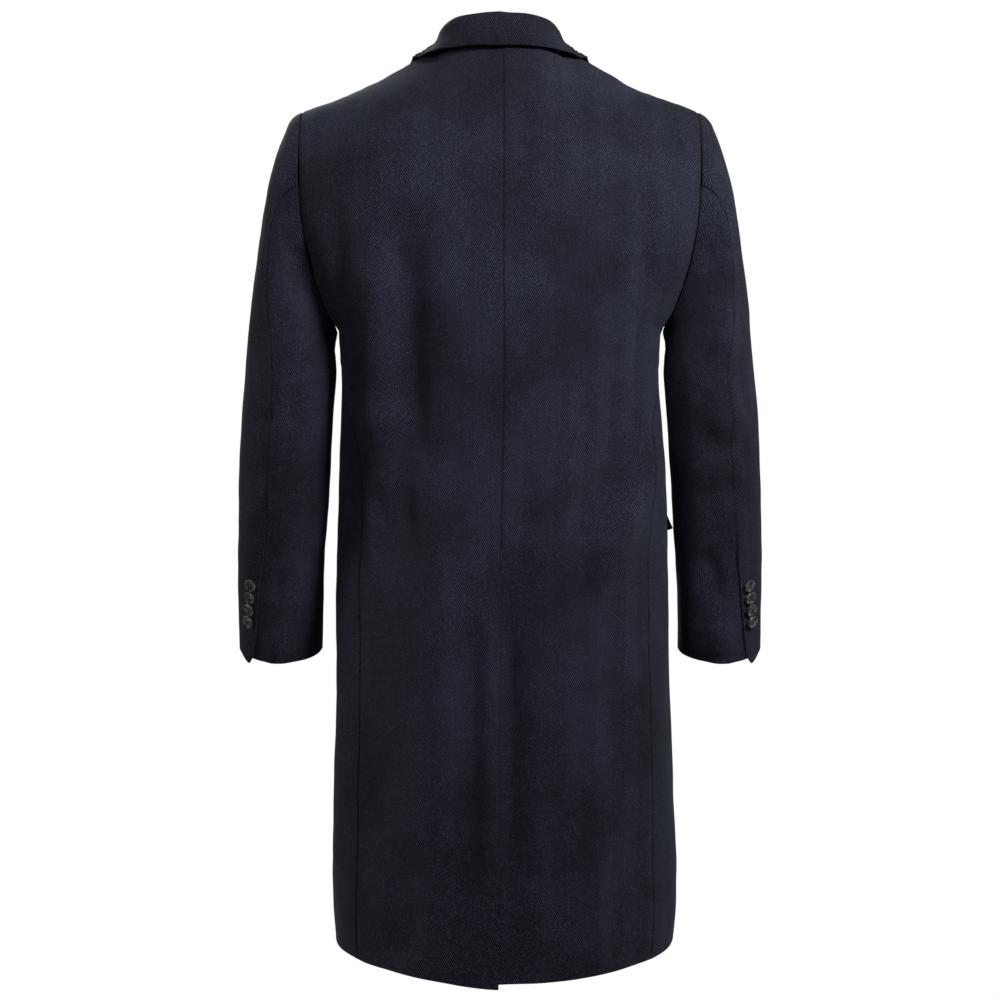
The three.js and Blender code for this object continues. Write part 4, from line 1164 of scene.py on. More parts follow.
    def make(self, material: bpy.types.Material) -> None:
        outer, inner = self.shell()
        rows, columns = self.grid.shape[:2]
        number = np.arange(rows * columns).reshape(rows, columns)
        back = number + rows * columns
        a, b, c, d = number[:-1, :-1], number[1:, :-1], number[1:, 1:], number[:-1, 1:]
        e, f, g, h = back[:-1, :-1], back[:-1, 1:], back[1:, 1:], back[1:, :-1]
        quads = [np.stack([a, b, c, d], -1).reshape(-1, 4), np.stack([e, f, g, h], -1).reshape(-1, 4)]
        for line, far, flip in ((number[0], back[0], 0), (number[-1], back[-1], 1),
                                (number[:, 0], back[:, 0], 1), (number[:, -1], back[:, -1], 0)):
            rim = np.stack([line[:-1], line[1:], far[1:], far[:-1]], -1)
            quads.append(rim[:, ::-1] if flip else rim)
        faces = np.concatenate(quads)
        if self.turn < 0:
            faces = faces[:, ::-1]
        verts = np.concatenate([outer.reshape(-1, 3), inner.reshape(-1, 3)]) * MM
        mesh = bpy.data.meshes.new(self.name)
        mesh.from_pydata(verts.tolist(), [], faces.tolist())
        places = self.cloth_map().reshape(-1, 2)
        both = np.concatenate([places, places])
        layer = mesh.uv_layers.new(name="cloth")
        loops = np.empty(len(mesh.loops), dtype=np.int32)
        mesh.loops.foreach_get("vertex_index", loops)
        layer.data.foreach_set("uv", both[loops].ravel())
        # The seam layer carries the mask of painted shade and lint along the seams.
        seams = self.seams().ravel()
        seam_shade_layer = mesh.attributes.new("seam", "FLOAT", "POINT")
        seam_shade_layer.data.foreach_set("value", np.concatenate([seams, seams]))
        mesh.shade_smooth()
        mesh.materials.append(material)
        piece = bpy.data.objects.new(self.name, mesh)
        bpy.context.scene.collection.objects.link(piece)
        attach(piece, "root")
        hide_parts(self.node)
        list(self.rests_on)
        measured = float(np.linalg.norm(np.cross(outer[1:, :-1] - outer[:-1, :-1],
                                                 outer[:-1, 1:] - outer[:-1, :-1]), axis=2).sum()) * MM * MM
        LOG.info("%s: %d faces, %.4f m2 of cloth", self.name, len(faces), measured)


@dataclass
class Back:
    """The two halves of the back, with the centre seam, the vent and the hem.

    Attributes:
        body: form of the body.
        step: size of a cell of the grid.
        columns: even cells across.
        flat: width and length of the cut of one half.
        area: its flat area.
        over_drop: how far the vent's upper corner hangs below the hem.
        under_drop: how far its lower one does.
    """

    body: BodyForm
    step: float = 4.4
    columns: int = 40
    flat: tuple[float, float] = (0.262, 1.085)
    area: float = 0.232
    over_drop: float = 3.5
    under_drop: float = -1.5

    def cloth(self, side: Side) -> Cloth:
        """One half of the back."""
        rows = self.body.rows_down(self.step)
        right = side is Side.RIGHT
        lines, across = [], []
        for row in rows:
            section = self.body.row(row)
            stay = VENT_STAY * float(ease(row, VENT_TOP - VENT_STEP / 2, VENT_TOP))
            lap = mix(stay, VENT_LAP, float(ease(row, VENT_TOP, VENT_TOP + VENT_STEP))) if right else 0.0
            width = section.seam * section.back.length
            distance = spread(width + lap, self.columns, EDGE_STEPS) - lap
            points = self.body.back_points(row, distance)
            if right:
                under = VENT_PUSH * float(ease(row, VENT_TOP - VENT_STEP, VENT_TOP - VENT_STEP / 2))
                points[:, 1] -= under * ease(points[:, 0], 50, 4)
            drop = self.under_drop if right else self.over_drop
            points[:, 2] -= drop * float(ease(row, 1.93, 2.0)) * np.exp(-(distance / 60) ** 2)
            lines.append(self.body.settle(points * [side.value, 1, 1]))
            across.append(distance)
        grid = np.array(lines)
        open_ = ease(rows, VENT_TOP - 0.004, VENT_TOP + 0.004)
        over = ease(rows, VENT_TOP - VENT_STEP, VENT_TOP - VENT_STEP / 2)
        lap = ease(np.array(across), 60, 46) * over[:, None]
        edges = Edges(left=1 - open_, right=1.0, top=1.0, bottom=0.0, under=("right", "top") if right else
                      ("left", "right", "top"), over=("left",) if right else ())
        cloth_u = np.array(across) * side.value + (5.0 if right else 3.0)
        return Cloth(f"back_{side.word}_cloth", f"back_{side.word}", grid, -side.value, cloth_u, edges,
                     self.flat, self.area, hem=40.0, lap=lap)


@dataclass
class Front:
    """The two fronts, each with its side panel, from the side-back seam to the front edge.

    Attributes:
        body: form of the body.
        step: size of a cell of the grid.
        columns: even cells across.
        flat: width and length of the cut of one front.
        area: its flat area.
        round_over: rows above and below the underarm that are rounded.
        rounding: how often they are smoothed.
    """

    body: BodyForm
    step: float = 4.6
    columns: int = 62
    flat: tuple[float, float] = (0.390, 1.075)
    area: float = 0.345
    round_over: float = 0.045
    rounding: int = 30

    def cloth(self, side: Side) -> Cloth:
        """One front."""
        rows = self.body.rows_down(self.step)
        lines, across = [], []
        for row in rows:
            length = self.body.row(row).length
            distance = spread(length, self.columns, EDGE_STEPS)
            lines.append(self.body.front_side(row, distance, side))
            across.append(length - distance)
        grid, across = self.chest(np.array(lines), rows), np.array(across)
        cloth_u = across * side.value + 4.0
        lap = ease(across, 62, 48)
        edges = Edges(left=1.0, right=0.0, top=1.0, bottom=0.0, over=("left", "top"))
        return Cloth(f"front_{side.word}_cloth", f"front_{side.word}", grid, -side.value, cloth_u,
                     edges, self.flat, self.area, hem=40.0, lap=lap)

    def chest(self, grid: Points, rows: Points) -> Points:
        """Rounds the chest just below the armhole, where the form changes, and leaves the seams alone."""
        near = np.exp(-((rows - 1) / self.round_over) ** 2)[:, None]
        inside = ease(np.arange(grid.shape[1]), 8, 16) * ease(np.arange(grid.shape[1]), self.columns, 40)
        for _ in range(self.rounding):
            mean = (grid[:-2] + grid[2:]) / 2
            grid[1:-1] = mix(grid[1:-1], mean, (0.5 * near * inside)[1:-1, :, None])
        return grid


@dataclass
class Sleeve:
    """One sleeve: top sleeve, under sleeve and cuff vent.

    Attributes:
        form: form of the sleeve.
        side: left or right.
        step: size of a cell of the grid.
        roping: fullness of the sleeve head just past the armhole.
        corner: how far the vent's corner hangs below the hem.
        top_flat: width and length of the cut of the top sleeve.
        top_area: its flat area.
        under_flat: width and length of the cut of the under sleeve.
        under_area: its flat area.
        hem: depth of the hem.
        seam_dip: depth of the groove at its seams.
    """

    form: SleeveForm
    side: Side
    step: float = 4.4
    roping: float = 1.6
    corner: float = 7.0
    top_flat: tuple[float, float] = (0.262, 0.668)
    top_area: float = 0.139
    under_flat: tuple[float, float] = (0.178, 0.560)
    under_area: float = 0.083
    hem: float = 38.0
    seam_dip: float = 0.5

    def headed(self, grid: Points, angles: Points, turn: int) -> Points:
        """Raises the sleeve head into a soft roll along the upper armhole."""
        steps = np.linalg.norm(np.diff(grid, axis=0), axis=2)
        run = np.concatenate([np.zeros((1, grid.shape[1])), np.cumsum(steps, axis=0)])
        upper = ease(np.cos(np.radians(angles)), -0.5, 0.3)
        roll = np.sin(np.pi * np.clip(run / 26.0, 0, 1) ** 0.6)
        return grid + outward(grid, turn) * (self.roping * upper * roll)[..., None]

    def rings(self, start: Callable[[float], float], end: Callable[[float], float],
              columns: int) -> tuple[Points, Points, Points, Points]:
        """Lays out the grid of one sleeve piece.

        Args:
            start: angle of its first column at a ring.
            end: angle of its last column at a ring.
            columns: even cells between.

        Returns:
            Points, angles, distances from the first column and the rings.
        """
        rings = self.form.rings_down(self.step)
        lines, angles, across = [], [], []
        for ring in rings:
            angle, length = self.form.angles(ring, start(ring), end(ring), columns)
            lines.append(self.form.points(ring, angle))
            angles.append(angle)
            across.append(spread(length, columns, EDGE_STEPS))
        return np.array(lines), np.array(angles), np.array(across), rings

    def top(self) -> Cloth:
        """The top sleeve. Its vent edge hangs in a mitred corner below the hem."""
        grid, angles, across, rings = self.rings(lambda ring: FOREARM_SEAM - 360, self.form.hind, 34)
        grid = self.headed(grid, angles, 1)
        from_vent = across[:, -1:] - across
        point_down = ease(from_vent, 30, 9) - 1.15 * ease(from_vent, 9, 0)
        grid[..., 2] -= self.corner * point_down * ease(rings, 14.3, 15.0)[:, None]
        grid = grid * [self.side.value, 1, 1]
        open_ = ease(rings, CUFF_VENT, CUFF_VENT + 0.12)
        lap = ease(from_vent, 40, 26) * ease(rings, CUFF_VENT - 0.3, CUFF_VENT)[:, None]
        cloth_u = (from_vent - 70.0) * self.side.value
        edges = Edges(left=1.0, right=1 - open_, top=1.0, bottom=0.0, under=("left", "right"))
        return Cloth(f"top_sleeve_{self.side.word}_cloth", f"top_sleeve_{self.side.word}", grid,
                     self.side.value, cloth_u, edges, self.top_flat, self.top_area, hem=self.hem, lap=lap,
                     seam_dip=self.seam_dip)

    def under(self) -> Cloth:
        """The under sleeve, which slips in under the top sleeve along the cuff vent."""
        def start(ring: float) -> float:
            return self.form.hind(ring) - CUFF_LAP * float(ease(ring, CUFF_VENT, CUFF_VENT + 0.6))

        grid, angles, across, rings = self.rings(start, lambda ring: FOREARM_SEAM, 28)
        hind = np.array([self.form.hind(ring) for ring in rings])[:, None]
        push = UNDER * ease(rings, CUFF_VENT - 1, CUFF_VENT)[:, None] * ease(angles - hind, 26, 2)
        read = self.form.rings.read
        middle_x = (read("out_x", rings) + read("in_x", rings)) / 2
        middle = np.stack([middle_x, read("mid_y", rings), 0 * rings], -1)
        out = grid - middle[:, None]
        out[..., 2] = 0
        grid = grid - unit(out) * push[..., None]
        grid = grid * [self.side.value, 1, 1]
        open_ = ease(rings, CUFF_VENT, CUFF_VENT + 0.12)
        lap = ease(angles - hind, 20, 8) * ease(rings, CUFF_VENT - 0.3, CUFF_VENT)[:, None]
        cloth_u = (across - 30.0) * self.side.value
        edges = Edges(left=1 - open_, right=1.0, top=1.0, bottom=0.0, over=("left", "right"))
        return Cloth(f"under_sleeve_{self.side.word}_cloth", f"under_sleeve_{self.side.word}", grid,
                     self.side.value, cloth_u, edges, self.under_flat, self.under_area, hem=self.hem,
                     lap=lap, seam_dip=self.seam_dip)


COLLAR_TURN = ((-2.2, -1.4), (-1.2, -0.3), (0.4, 0.0), (2.2, -0.5), (3.7, -1.9), (4.9, -4.2), (5.9, -7.2))
ROLL_ROWS = 7                # the fall's first rows turn over the stand


def softened(grid: Points) -> Points:
    """Every value of a grid, averaged with its neighbours."""
    for axis in (0, 1):
        count = grid.shape[axis]
        long = np.concatenate([grid.take([0], axis), grid, grid.take([count - 1], axis)], axis)
        grid = (long.take(range(count), axis) + 2 * grid + long.take(range(2, count + 2), axis)) / 4
    return grid


@dataclass
class Collar:
    """The collar: a stand sewn to the neckline and a fall turned down over it.

    Attributes:
        body: form of the body.
        belly: how far the fall bulges between its roll and its edge at the centre back.
        hollow: how far it sinks in over the shoulders instead.
        clear: least height of the fall over the body.
        stand_inside: how far the stand lies inside the roll.
        foot: how far the stand runs down inside the neckline.
        softness: how often the fall's curves are smoothed.
    """

    body: BodyForm
    belly: float = 2.4
    hollow: float = 3.0
    clear: float = UNDER + 3 * AIR
    stand_inside: float = 1.0
    foot: float = 6.0
    softness: int = 6

    def __post_init__(self) -> None:
        """Reads the table and samples the body under the fall."""
        self.table = Table("at", COLLAR)
        self.tree, self.samples, self.facing = self.body_samples()

    def places(self, at: float) -> tuple[Points, Points, Points]:
        """Roll line, outer edge and the level direction from one to the other."""
        roll = point(*(float(self.table.read(f"roll_{k}", at)) for k in "xyz"))
        edge = point(*(float(self.table.read(f"edge_{k}", at)) for k in "xyz"))
        out = (edge - roll) * [1, 1, 0]
        return roll, edge, out / np.linalg.norm(out)

    def body_samples(self) -> tuple[KDTree, Points, Points]:
        """Close samples of the upper body with their normals."""
        shares = np.linspace(0, 0.8, 70)
        points, normals = [], []
        for side in Side:
            back = np.array([self.body.settle(self.body.back_points(
                row, shares * self.body.row(row).back.length) * [side.value, 1, 1])
                for row in np.linspace(0, 0.6, 60)])
            front = np.array([self.body.front_side(row, (1 - shares) * self.body.row(row).length, side)
                              for row in np.linspace(0, 0.6, 60)])
            for grid, turn in ((back, -side.value), (front, side.value)):
                points.append(grid.reshape(-1, 3))
                normals.append(outward(grid, turn).reshape(-1, 3))
        samples, facing = np.concatenate(points), np.concatenate(normals)
        tree = KDTree(len(samples))
        for number, place in enumerate(samples):
            tree.insert(place, number)
        tree.balance()
        return tree, samples, facing

    def raised(self, grid: Points) -> Points:
        """Lifts the fall softly until it is clear of the body."""
        push, facing = np.zeros(grid.shape[:2]), np.zeros_like(grid)
        for place in np.ndindex(*push.shape):
            _, number, _ = self.tree.find(grid[place])
            height = float((grid[place] - self.samples[number]) @ self.facing[number])
            facing[place] = self.facing[number]
            push[place] = max(self.clear - height, 0.0) if place[0] > ROLL_ROWS else 0.0
        for _ in range(self.softness):
            push, facing = np.maximum(push, softened(push)), softened(facing)
        return grid + unit(facing) * push[..., None]

    def section(self, at: float) -> Points:
        """The fall at one place, from just inside the roll down to its edge."""
        roll, edge, out = self.places(at)
        up = point(0, 0, 1)
        turned = np.array([roll + across * out + rise * up for across, rise in COLLAR_TURN])
        share = np.linspace(0, 1, 14)[1:, None]
        belly = mix(self.belly, -self.hollow, float(ease(at, 0.12, 0.4))) * 4 * share * (1 - share)
        straight = turned[-1] + (edge - turned[-1]) * share + belly * out + 0.4 * belly * up
        line = Path(np.concatenate([turned, straight])).at(np.linspace(0, 1, 60))
        for _ in range(self.softness):
            line[1:-1] = (line[:-2] + 2 * line[1:-1] + line[2:]) / 4
        path = Path(line)
        return path.at(spread(path.length, 20, EDGE_STEPS) / path.length)

    def fall(self) -> Cloth:
        """The fall, turned down over the stand."""
        steps = spread(1.0, 74, (0.0, 0.002, 0.006))
        lengthways = np.unique(np.round(np.concatenate([-steps, steps]), 6))
        lines = [self.section(abs(place)) * [-1 if place < 0 else 1, 1, 1] for place in lengthways]
        grid = self.raised(np.array(lines).transpose(1, 0, 2))
        run = run_along(grid[-6])
        cloth_u = np.broadcast_to(run - run[-1] / 2 + 6.0, grid.shape[:2])
        return Cloth("collar_fall_cloth", "collar_fall", grid, -1, cloth_u,
                     Edges(left=0.0, right=0.0, top=0.0, bottom=0.0), (0.470, 0.062), 0.0255,
                     held="folded", rests_on=["back_left_cloth", "back_right_cloth"], thick=2.6, pucker=0.0)

    def stand(self) -> Cloth:
        """The stand, from the roll down to the neckline."""
        lines = []
        for place in np.linspace(-1, 1, 120):
            at, side = abs(place), (Side.RIGHT if place < 0 else Side.LEFT)
            if at <= COLLAR_SHOULDER:
                share = at / COLLAR_SHOULDER * NECK_SHARE
                foot = self.body.back_points(0, np.array([share * self.body.row(0).back.length]))
            else:
                row = (at - COLLAR_SHOULDER) / (1 - COLLAR_SHOULDER) * GORGE_ROW
                foot = self.body.front_points(row, np.array([self.body.row(row).length]))
            roll, _, out = self.places(at)
            foot = self.body.settle((foot - UNDER * out) * [side.value, 1, 1])[0] - point(0, 0, self.foot)
            top = roll - self.stand_inside * out
            top[2] -= mix(3.2, 6.2, float(ease(at, 0.55, 0.85)))
            top = top * [side.value, 1, 1]
            share = spread(1.0, 9, (0.0, 0.01, 0.03))[:, None]
            lines.append(top + (foot - top) * share)
        grid = np.array(lines).transpose(1, 0, 2)
        cloth_u = np.broadcast_to(run_along(grid[0]), grid.shape[:2])
        return Cloth("collar_stand_cloth", "collar_stand", grid, -1, cloth_u,
                     Edges(left=0.0, right=0.0, top=0.0, bottom=1.0), (0.380, 0.052), 0.0095,
                     rests_on=["back_left_cloth", "back_right_cloth"], thick=1.7, pucker=0.0,
                     seam_dip=0.4, slot="undercollar_cloth")


class Patch:
    """A stretch of one front, worked out once at even steps and read between them."""

    def __init__(self, body: BodyForm, side: Side, rows: tuple[float, float], reach: float,
                 start: Callable[[BodyRow], float], way: int) -> None:
        """Works out the stretch.

        Args:
            body: form of the body.
            side: left or right.
            rows: first and last row.
            reach: width of the stretch.
            start: distance of its start from the side-back seam.
            way: 1 where it runs towards the front edge, -1 where it runs back from it.
        """
        self.rows = np.linspace(*rows, 80)
        self.across = np.linspace(-4.0, reach, 64)
        lines = []
        for row in self.rows:
            distance = np.maximum(start(body.row(row)) + way * self.across, 0)
            lines.append(body.front_side(row, distance, side))
        self.grid = np.array(lines)
        self.facing = outward(self.grid, -way * side.value)

    def read(self, row: float, across: float) -> tuple[Points, Points]:
        """Point and outward normal of the front at a row and a distance from the start."""
        i = float(np.interp(row, self.rows, np.arange(len(self.rows))))
        j = float(np.interp(across, self.across, np.arange(len(self.across))))
        a, b = min(int(i), len(self.rows) - 2), min(int(j), len(self.across) - 2)
        found = []
        for grid in (self.grid, self.facing):
            above = mix(grid[a, b], grid[a, b + 1], j - b)
            below = mix(grid[a + 1, b], grid[a + 1, b + 1], j - b)
            found.append(mix(above, below, i - a))
        return found[0], found[1]


@dataclass
class Lapel:
    """A notched lapel, turned back on its front along the roll line.

    Attributes:
        body: form of the body.
        side: left or right.
        lift: how far its roll stands off the front.
        reach: width of that roll.
    """

    body: BodyForm
    side: Side
    lift: float = 2.6
    reach: float = 16.0

    def cloth(self) -> Cloth:
        """The lapel; the last column is the roll line."""
        table = Table("row", LAPEL)
        patch = Patch(self.body, self.side, (0.2, 1.2), 110.0, lambda row: row.length, -1)
        lines, across = [], []
        for base in self.body.rows_down(4.0, LAPEL[0].row, LAPEL[-1].row):
            wide, skew = float(table.read("wide", base)), float(table.read("skew", base))
            back = wide - spread(wide, 22, EDGE_STEPS if wide > 24 else (0.0, 0.1, 0.3, 0.5, 0.8, 1.2, 1.8))
            line = []
            for distance in back:
                here, normal = patch.read(base + skew * distance / wide, distance)
                swell = math.sin(math.pi * min(distance / self.reach, 1) ** 0.6)
                line.append(here + normal * (UNDER + AIR + self.lift * swell * float(ease(base, 1.08, 0.85))))
            lines.append(line)
            across.append(back)
        grid = np.array(lines)
        cloth_u = np.array(across) * self.side.value
        return Cloth(f"lapel_{self.side.word}_cloth", f"lapel_{self.side.word}", grid, -self.side.value,
                     cloth_u, Edges(left=0.0, right=0.0, top=0.0, bottom=0.0), (0.092, 0.365), 0.0262,
                     held="folded", rests_on=[f"front_{self.side.word}_cloth"], thick=1.9, pucker=0.0)


@dataclass
class PocketFlap:
    """Flap over a hip pocket.

    Attributes:
        body: form of the body.
        side: left or right.
        top: height of its seam.
        drop: its depth.
        start: distance of its back end from the side-back seam.
        length: its width.
        corner: radius of its lower corners.
        stray_left: how far the back corner of the left flap stands off the coat.
        stray_right: how far that of the right flap does.
    """

    body: BodyForm
    side: Side
    top: float = -507.0
    drop: float = 60.0
    start: float = 40.0
    length: float = 155.0
    corner: float = 9.0
    stray_left: float = 0.8
    stray_right: float = 14.0

    def cloth(self) -> Cloth:
        """The flap; its first row is sewn into the pocket's seam."""
        patch = Patch(self.body, self.side, (1.2, 1.38), 180.0, lambda row: row.before + self.start, 1)
        stray = self.stray_right if self.side is Side.RIGHT else self.stray_left
        lines, across = [], []
        for v in spread(1.0, 14, tuple(step / self.drop for step in EDGE_STEPS)):
            line, runs = [], []
            for u in spread(1.0, 34, tuple(step / self.length for step in EDGE_STEPS)):
                round_ = self.corner * v ** 3 * (1 - min(1.0, 6 * min(u, 1 - u)))
                inset = 0.5 * round_ * (1 if u < 0.5 else -1)
                row = 1 + (self.top - self.drop * v - UNDERARM) / (HEM_SIDE - UNDERARM)
                here, normal = patch.read(row, self.length * u + inset)
                height = UNDER + AIR + 0.8 * v + stray * v ** 2 * float(ease(u, 0.3, 0))
                line.append(here + normal * height + point(0, 0, 0.5 * round_))
                runs.append(self.length * u)
            lines.append(line)
            across.append(runs)
        cloth_u = -np.array(across) * self.side.value
        return Cloth(f"pocket_flap_{self.side.word}_cloth", f"pocket_flap_{self.side.word}", np.array(lines),
                     -self.side.value, cloth_u, Edges(left=0.0, right=0.0, top=1.0, bottom=0.0),
                     (0.157, 0.062), 0.0097, rests_on=[f"front_{self.side.word}_cloth"], thick=2.2,
                     pucker=0.15)


# Buttons


def deselect() -> None:
    """Deselects every object."""
    bpy.ops.object.select_all(action="DESELECT")


def select_only(piece: bpy.types.Object) -> None:
    """Selects one object and makes it the active one."""
    deselect()
    piece.select_set(True)
    bpy.context.view_layer.objects.active = piece


@dataclass
class Button:
    """A four-hole horn button with a raised rim and a dished face, sewn on with thread.

    Attributes:
        radius: half its width, in metres.
        thick: its thickness, in metres.
        hole: radius of a hole, in metres.
        spacing: distance of a hole from the middle, in metres.
    """

    radius: float
    thick: float
    hole: float
    spacing: float

    def disc(self) -> bpy.types.Object:
        """The horn disc at the origin, its face towards +Z."""
        deselect()
        bpy.ops.mesh.primitive_cylinder_add(vertices=48, radius=self.radius, depth=self.thick,
                                            end_fill_type="NGON")
        disc = bpy.context.active_object
        bpy.ops.object.mode_set(mode="EDIT")
        bpy.ops.mesh.select_all(action="DESELECT")
        bpy.ops.object.mode_set(mode="OBJECT")
        top = max(disc.data.polygons, key=lambda face: face.center.z * (len(face.vertices) > 4))
        top.select = True
        bpy.ops.object.mode_set(mode="EDIT")
        bpy.ops.mesh.select_mode(type="FACE")
        for inset, sink in ((0.07, 0.02), (0.15, 0.0), (0.07, -0.14), (0.08, -0.12), (0.16, -0.05)):
            bpy.ops.mesh.inset(thickness=inset * self.radius, depth=0)
            bpy.ops.transform.translate(value=(0, 0, sink * self.thick))
        bpy.ops.object.mode_set(mode="OBJECT")
        for edge in disc.data.edges:
            a, b = (disc.data.vertices[v].co for v in edge.vertices)
            rim = min(Vector(a.xy).length, Vector(b.xy).length) > self.radius * 0.99
            edge.select = rim and abs(a.z - b.z) < self.thick * 0.1
        bpy.ops.object.mode_set(mode="EDIT")
        bpy.ops.mesh.select_mode(type="EDGE")
        bpy.ops.mesh.bevel(offset=self.thick * 0.22, segments=3, profile=0.6)
        bpy.ops.object.mode_set(mode="OBJECT")
        self.drill(disc)
        select_only(disc)
        bpy.ops.object.shade_smooth_by_angle(angle=math.radians(38))
        return disc

    def drill(self, disc: bpy.types.Object) -> None:
        """Cuts the four holes."""
        for k in range(4):
            deselect()
            a = math.pi / 4 + k * math.pi / 2
            bpy.ops.mesh.primitive_cylinder_add(
                vertices=16, radius=self.hole, depth=self.thick * 3,
                location=(self.spacing * math.cos(a), self.spacing * math.sin(a), 0))
            cutter = bpy.context.active_object
            select_only(disc)
            cut = disc.modifiers.new("hole", "BOOLEAN")
            cut.object, cut.solver = cutter, "EXACT"
            bpy.ops.object.modifier_apply(modifier=cut.name)
            bpy.data.objects.remove(cutter, do_unlink=True)

    def thread(self) -> bpy.types.Object:
        """Two pairs of stitches between the holes and the shank under them."""
        made = []
        for k in (-1, 1):
            for strand in (-0.42, 0.42):
                deselect()
                bpy.ops.mesh.primitive_torus_add(
                    major_segments=28, minor_segments=8, major_radius=self.spacing * 0.72,
                    minor_radius=self.hole * 0.36,
                    location=(0, k * self.spacing * 0.71 + strand * self.hole * 0.8, -self.thick * 0.1),
                    rotation=(math.pi / 2, 0, 0))
                stitch = bpy.context.active_object
                stitch.scale = (1.0, self.thick * 0.52 / (self.spacing * 0.72), 1.0)
                bpy.ops.object.transform_apply(location=True, rotation=True, scale=True)
                made.append(stitch)
        deselect()
        bpy.ops.mesh.primitive_cylinder_add(vertices=16, radius=self.spacing * 0.8, depth=self.thick * 0.5,
                                            location=(0, 0, -self.thick * 0.7))
        made.append(bpy.context.active_object)
        deselect()
        for piece in made:
            piece.select_set(True)
        bpy.context.view_layer.objects.active = made[0]
        bpy.ops.object.join()
        thread = bpy.context.active_object
        bpy.ops.object.transform_apply(location=True, rotation=True, scale=True)
        bpy.ops.object.shade_smooth_by_angle(angle=math.radians(50))
        return thread


# Radius and thickness of the buttons
CUFF_RADIUS, CUFF_THICK = 7.5, 2.4
FRONT_RADIUS, FRONT_THICK = 13.5, 3.6
CUFF_PATTERN = Button(CUFF_RADIUS * MM, CUFF_THICK * MM, hole=0.78 * MM, spacing=1.7 * MM)
FRONT_PATTERN = Button(FRONT_RADIUS * MM, FRONT_THICK * MM, hole=1.25 * MM, spacing=2.9 * MM)


@dataclass
class Buttons:
    """All the buttons of the coat, each a copy of its pattern at its own place.

    Attributes:
        body: form of the body.
        sleeve: form of the sleeves.
        finishes: the materials.
        cuff_count: buttons on one cuff.
        cuff_ring: sleeve ring of the first of them.
        ring_length: length of the sleeve from one ring to the next.
        cuff_pitch: distance from one cuff button to the next.
        cuff_ahead: degrees from the hindarm seam to their middles.
        cuff_tilt: degrees that each leans over the next.
        front_count: buttons on the left front.
        front_top: height of the first of them.
        front_pitch: distance from one front button to the next.
    """

    body: BodyForm
    sleeve: SleeveForm
    finishes: Finishes
    cuff_count: int = 4
    cuff_ring: float = 12.56
    ring_length: float = 37.0
    cuff_pitch: float = 14.0
    cuff_ahead: float = 12.0
    cuff_tilt: float = 13.0
    front_count: int = 3
    front_top: float = -448.0
    front_pitch: float = 118.0

    def set_on(self, pattern: bpy.types.Object, name: str, centre: Points, normal: Points, up: Points,
               turn: float) -> bpy.types.Object:
        """Places a copy of a pattern.

        Args:
            pattern: the pattern, its face towards +Z.
            name: name of the copy.
            centre: its place, in millimetres.
            normal: direction of its face.
            up: direction of its top.
            turn: how far it is turned about its own middle, in degrees.

        Returns:
            The copy, its place in its mesh.
        """
        z = Vector(unit(normal))
        x = Vector(up).cross(z).normalized()
        y = z.cross(x)
        place = Matrix((x, y, z)).transposed().to_4x4()
        place.translation = Vector(centre) * MM
        copy = bpy.data.objects.new(name, pattern.data.copy())
        copy.data.transform(place @ Matrix.Rotation(math.radians(turn), 4, "Z"))
        bpy.context.scene.collection.objects.link(copy)
        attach(copy, "root")
        return copy

    def sew(self, disc: bpy.types.Object, thread: bpy.types.Object, node: str, centre: Points,
            normal: Points, up: Points, turn: float) -> None:
        """Sets on one button and its thread."""
        button = self.set_on(disc, f"{node}_horn", centre, normal, up, turn)
        button.data.materials.clear()
        button.data.materials.append(self.finishes.horn)
        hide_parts(node)
        stitches = self.set_on(thread, f"{node}_thread", centre, normal, up, turn)
        stitches.data.materials.clear()
        stitches.data.materials.append(self.finishes.thread)

    def cuff(self, side: Side, disc: bpy.types.Object, thread: bpy.types.Object) -> None:
        """The buttons of one cuff, each tilted over the next."""
        for i in range(self.cuff_count):
            ring = self.cuff_ring + i * self.cuff_pitch / self.ring_length
            angle = self.sleeve.hind(ring) - self.cuff_ahead

            def place(r: float, a: float) -> Points:
                return self.sleeve.points(r, np.array([a]))[0] * [side.value, 1, 1]

            up = unit(place(ring - 0.2, angle) - place(ring + 0.2, angle))
            along = unit(place(ring, angle + 4) - place(ring, angle - 4))
            normal = unit(np.cross(up, along) * -side.value)
            lean = math.radians(self.cuff_tilt)
            height = CUFF_RADIUS * math.sin(lean) + CUFF_THICK / 2 + SEAM_GAP
            face = unit(normal - up * math.tan(lean))
            centre = place(ring, angle) + normal * height
            self.sew(disc, thread, f"cuff_button_{side.word}_{i + 1}", centre, face, up, 17 * i - 20)

    def cuffs(self, disc: bpy.types.Object, thread: bpy.types.Object) -> None:
        """The buttons of both cuffs."""
        for side in Side:
            self.cuff(side, disc, thread)

    def front(self, disc: bpy.types.Object, thread: bpy.types.Object) -> None:
        """The buttons of the left front."""
        for i in range(self.front_count):
            z = self.front_top - self.front_pitch * i
            over, below = self.body.edge_at(z + FRONT_RADIUS), self.body.edge_at(z - FRONT_RADIUS)
            up = unit((over - below) * [0, 1, 1])
            normal = np.cross(up, point(-1, 0, 0))
            centre = self.body.edge_at(z) * [0, 1, 1] + normal * (FRONT_THICK / 2 + SEAM_GAP)
            self.sew(disc, thread, f"front_button_{i + 1}", centre, normal, up, 9 * i - 6)

    def build(self) -> None:
        """Makes both patterns, sets on every button and removes the patterns."""
        for pattern, sew_all in ((CUFF_PATTERN, self.cuffs), (FRONT_PATTERN, self.front)):
            disc, thread = pattern.disc(), pattern.thread()
            sew_all(disc, thread)
            for used in (disc, thread):
                bpy.data.objects.remove(used, do_unlink=True)


# Studio


@dataclass(frozen=True)
class Lamp:
    """A soft lamp: its place and aim in metres, its size, power and spread in degrees."""

    name: str
    place: tuple[float, float, float]
    aim: tuple[float, float, float]
    size: float
    power: float
    spread: float = 180.0


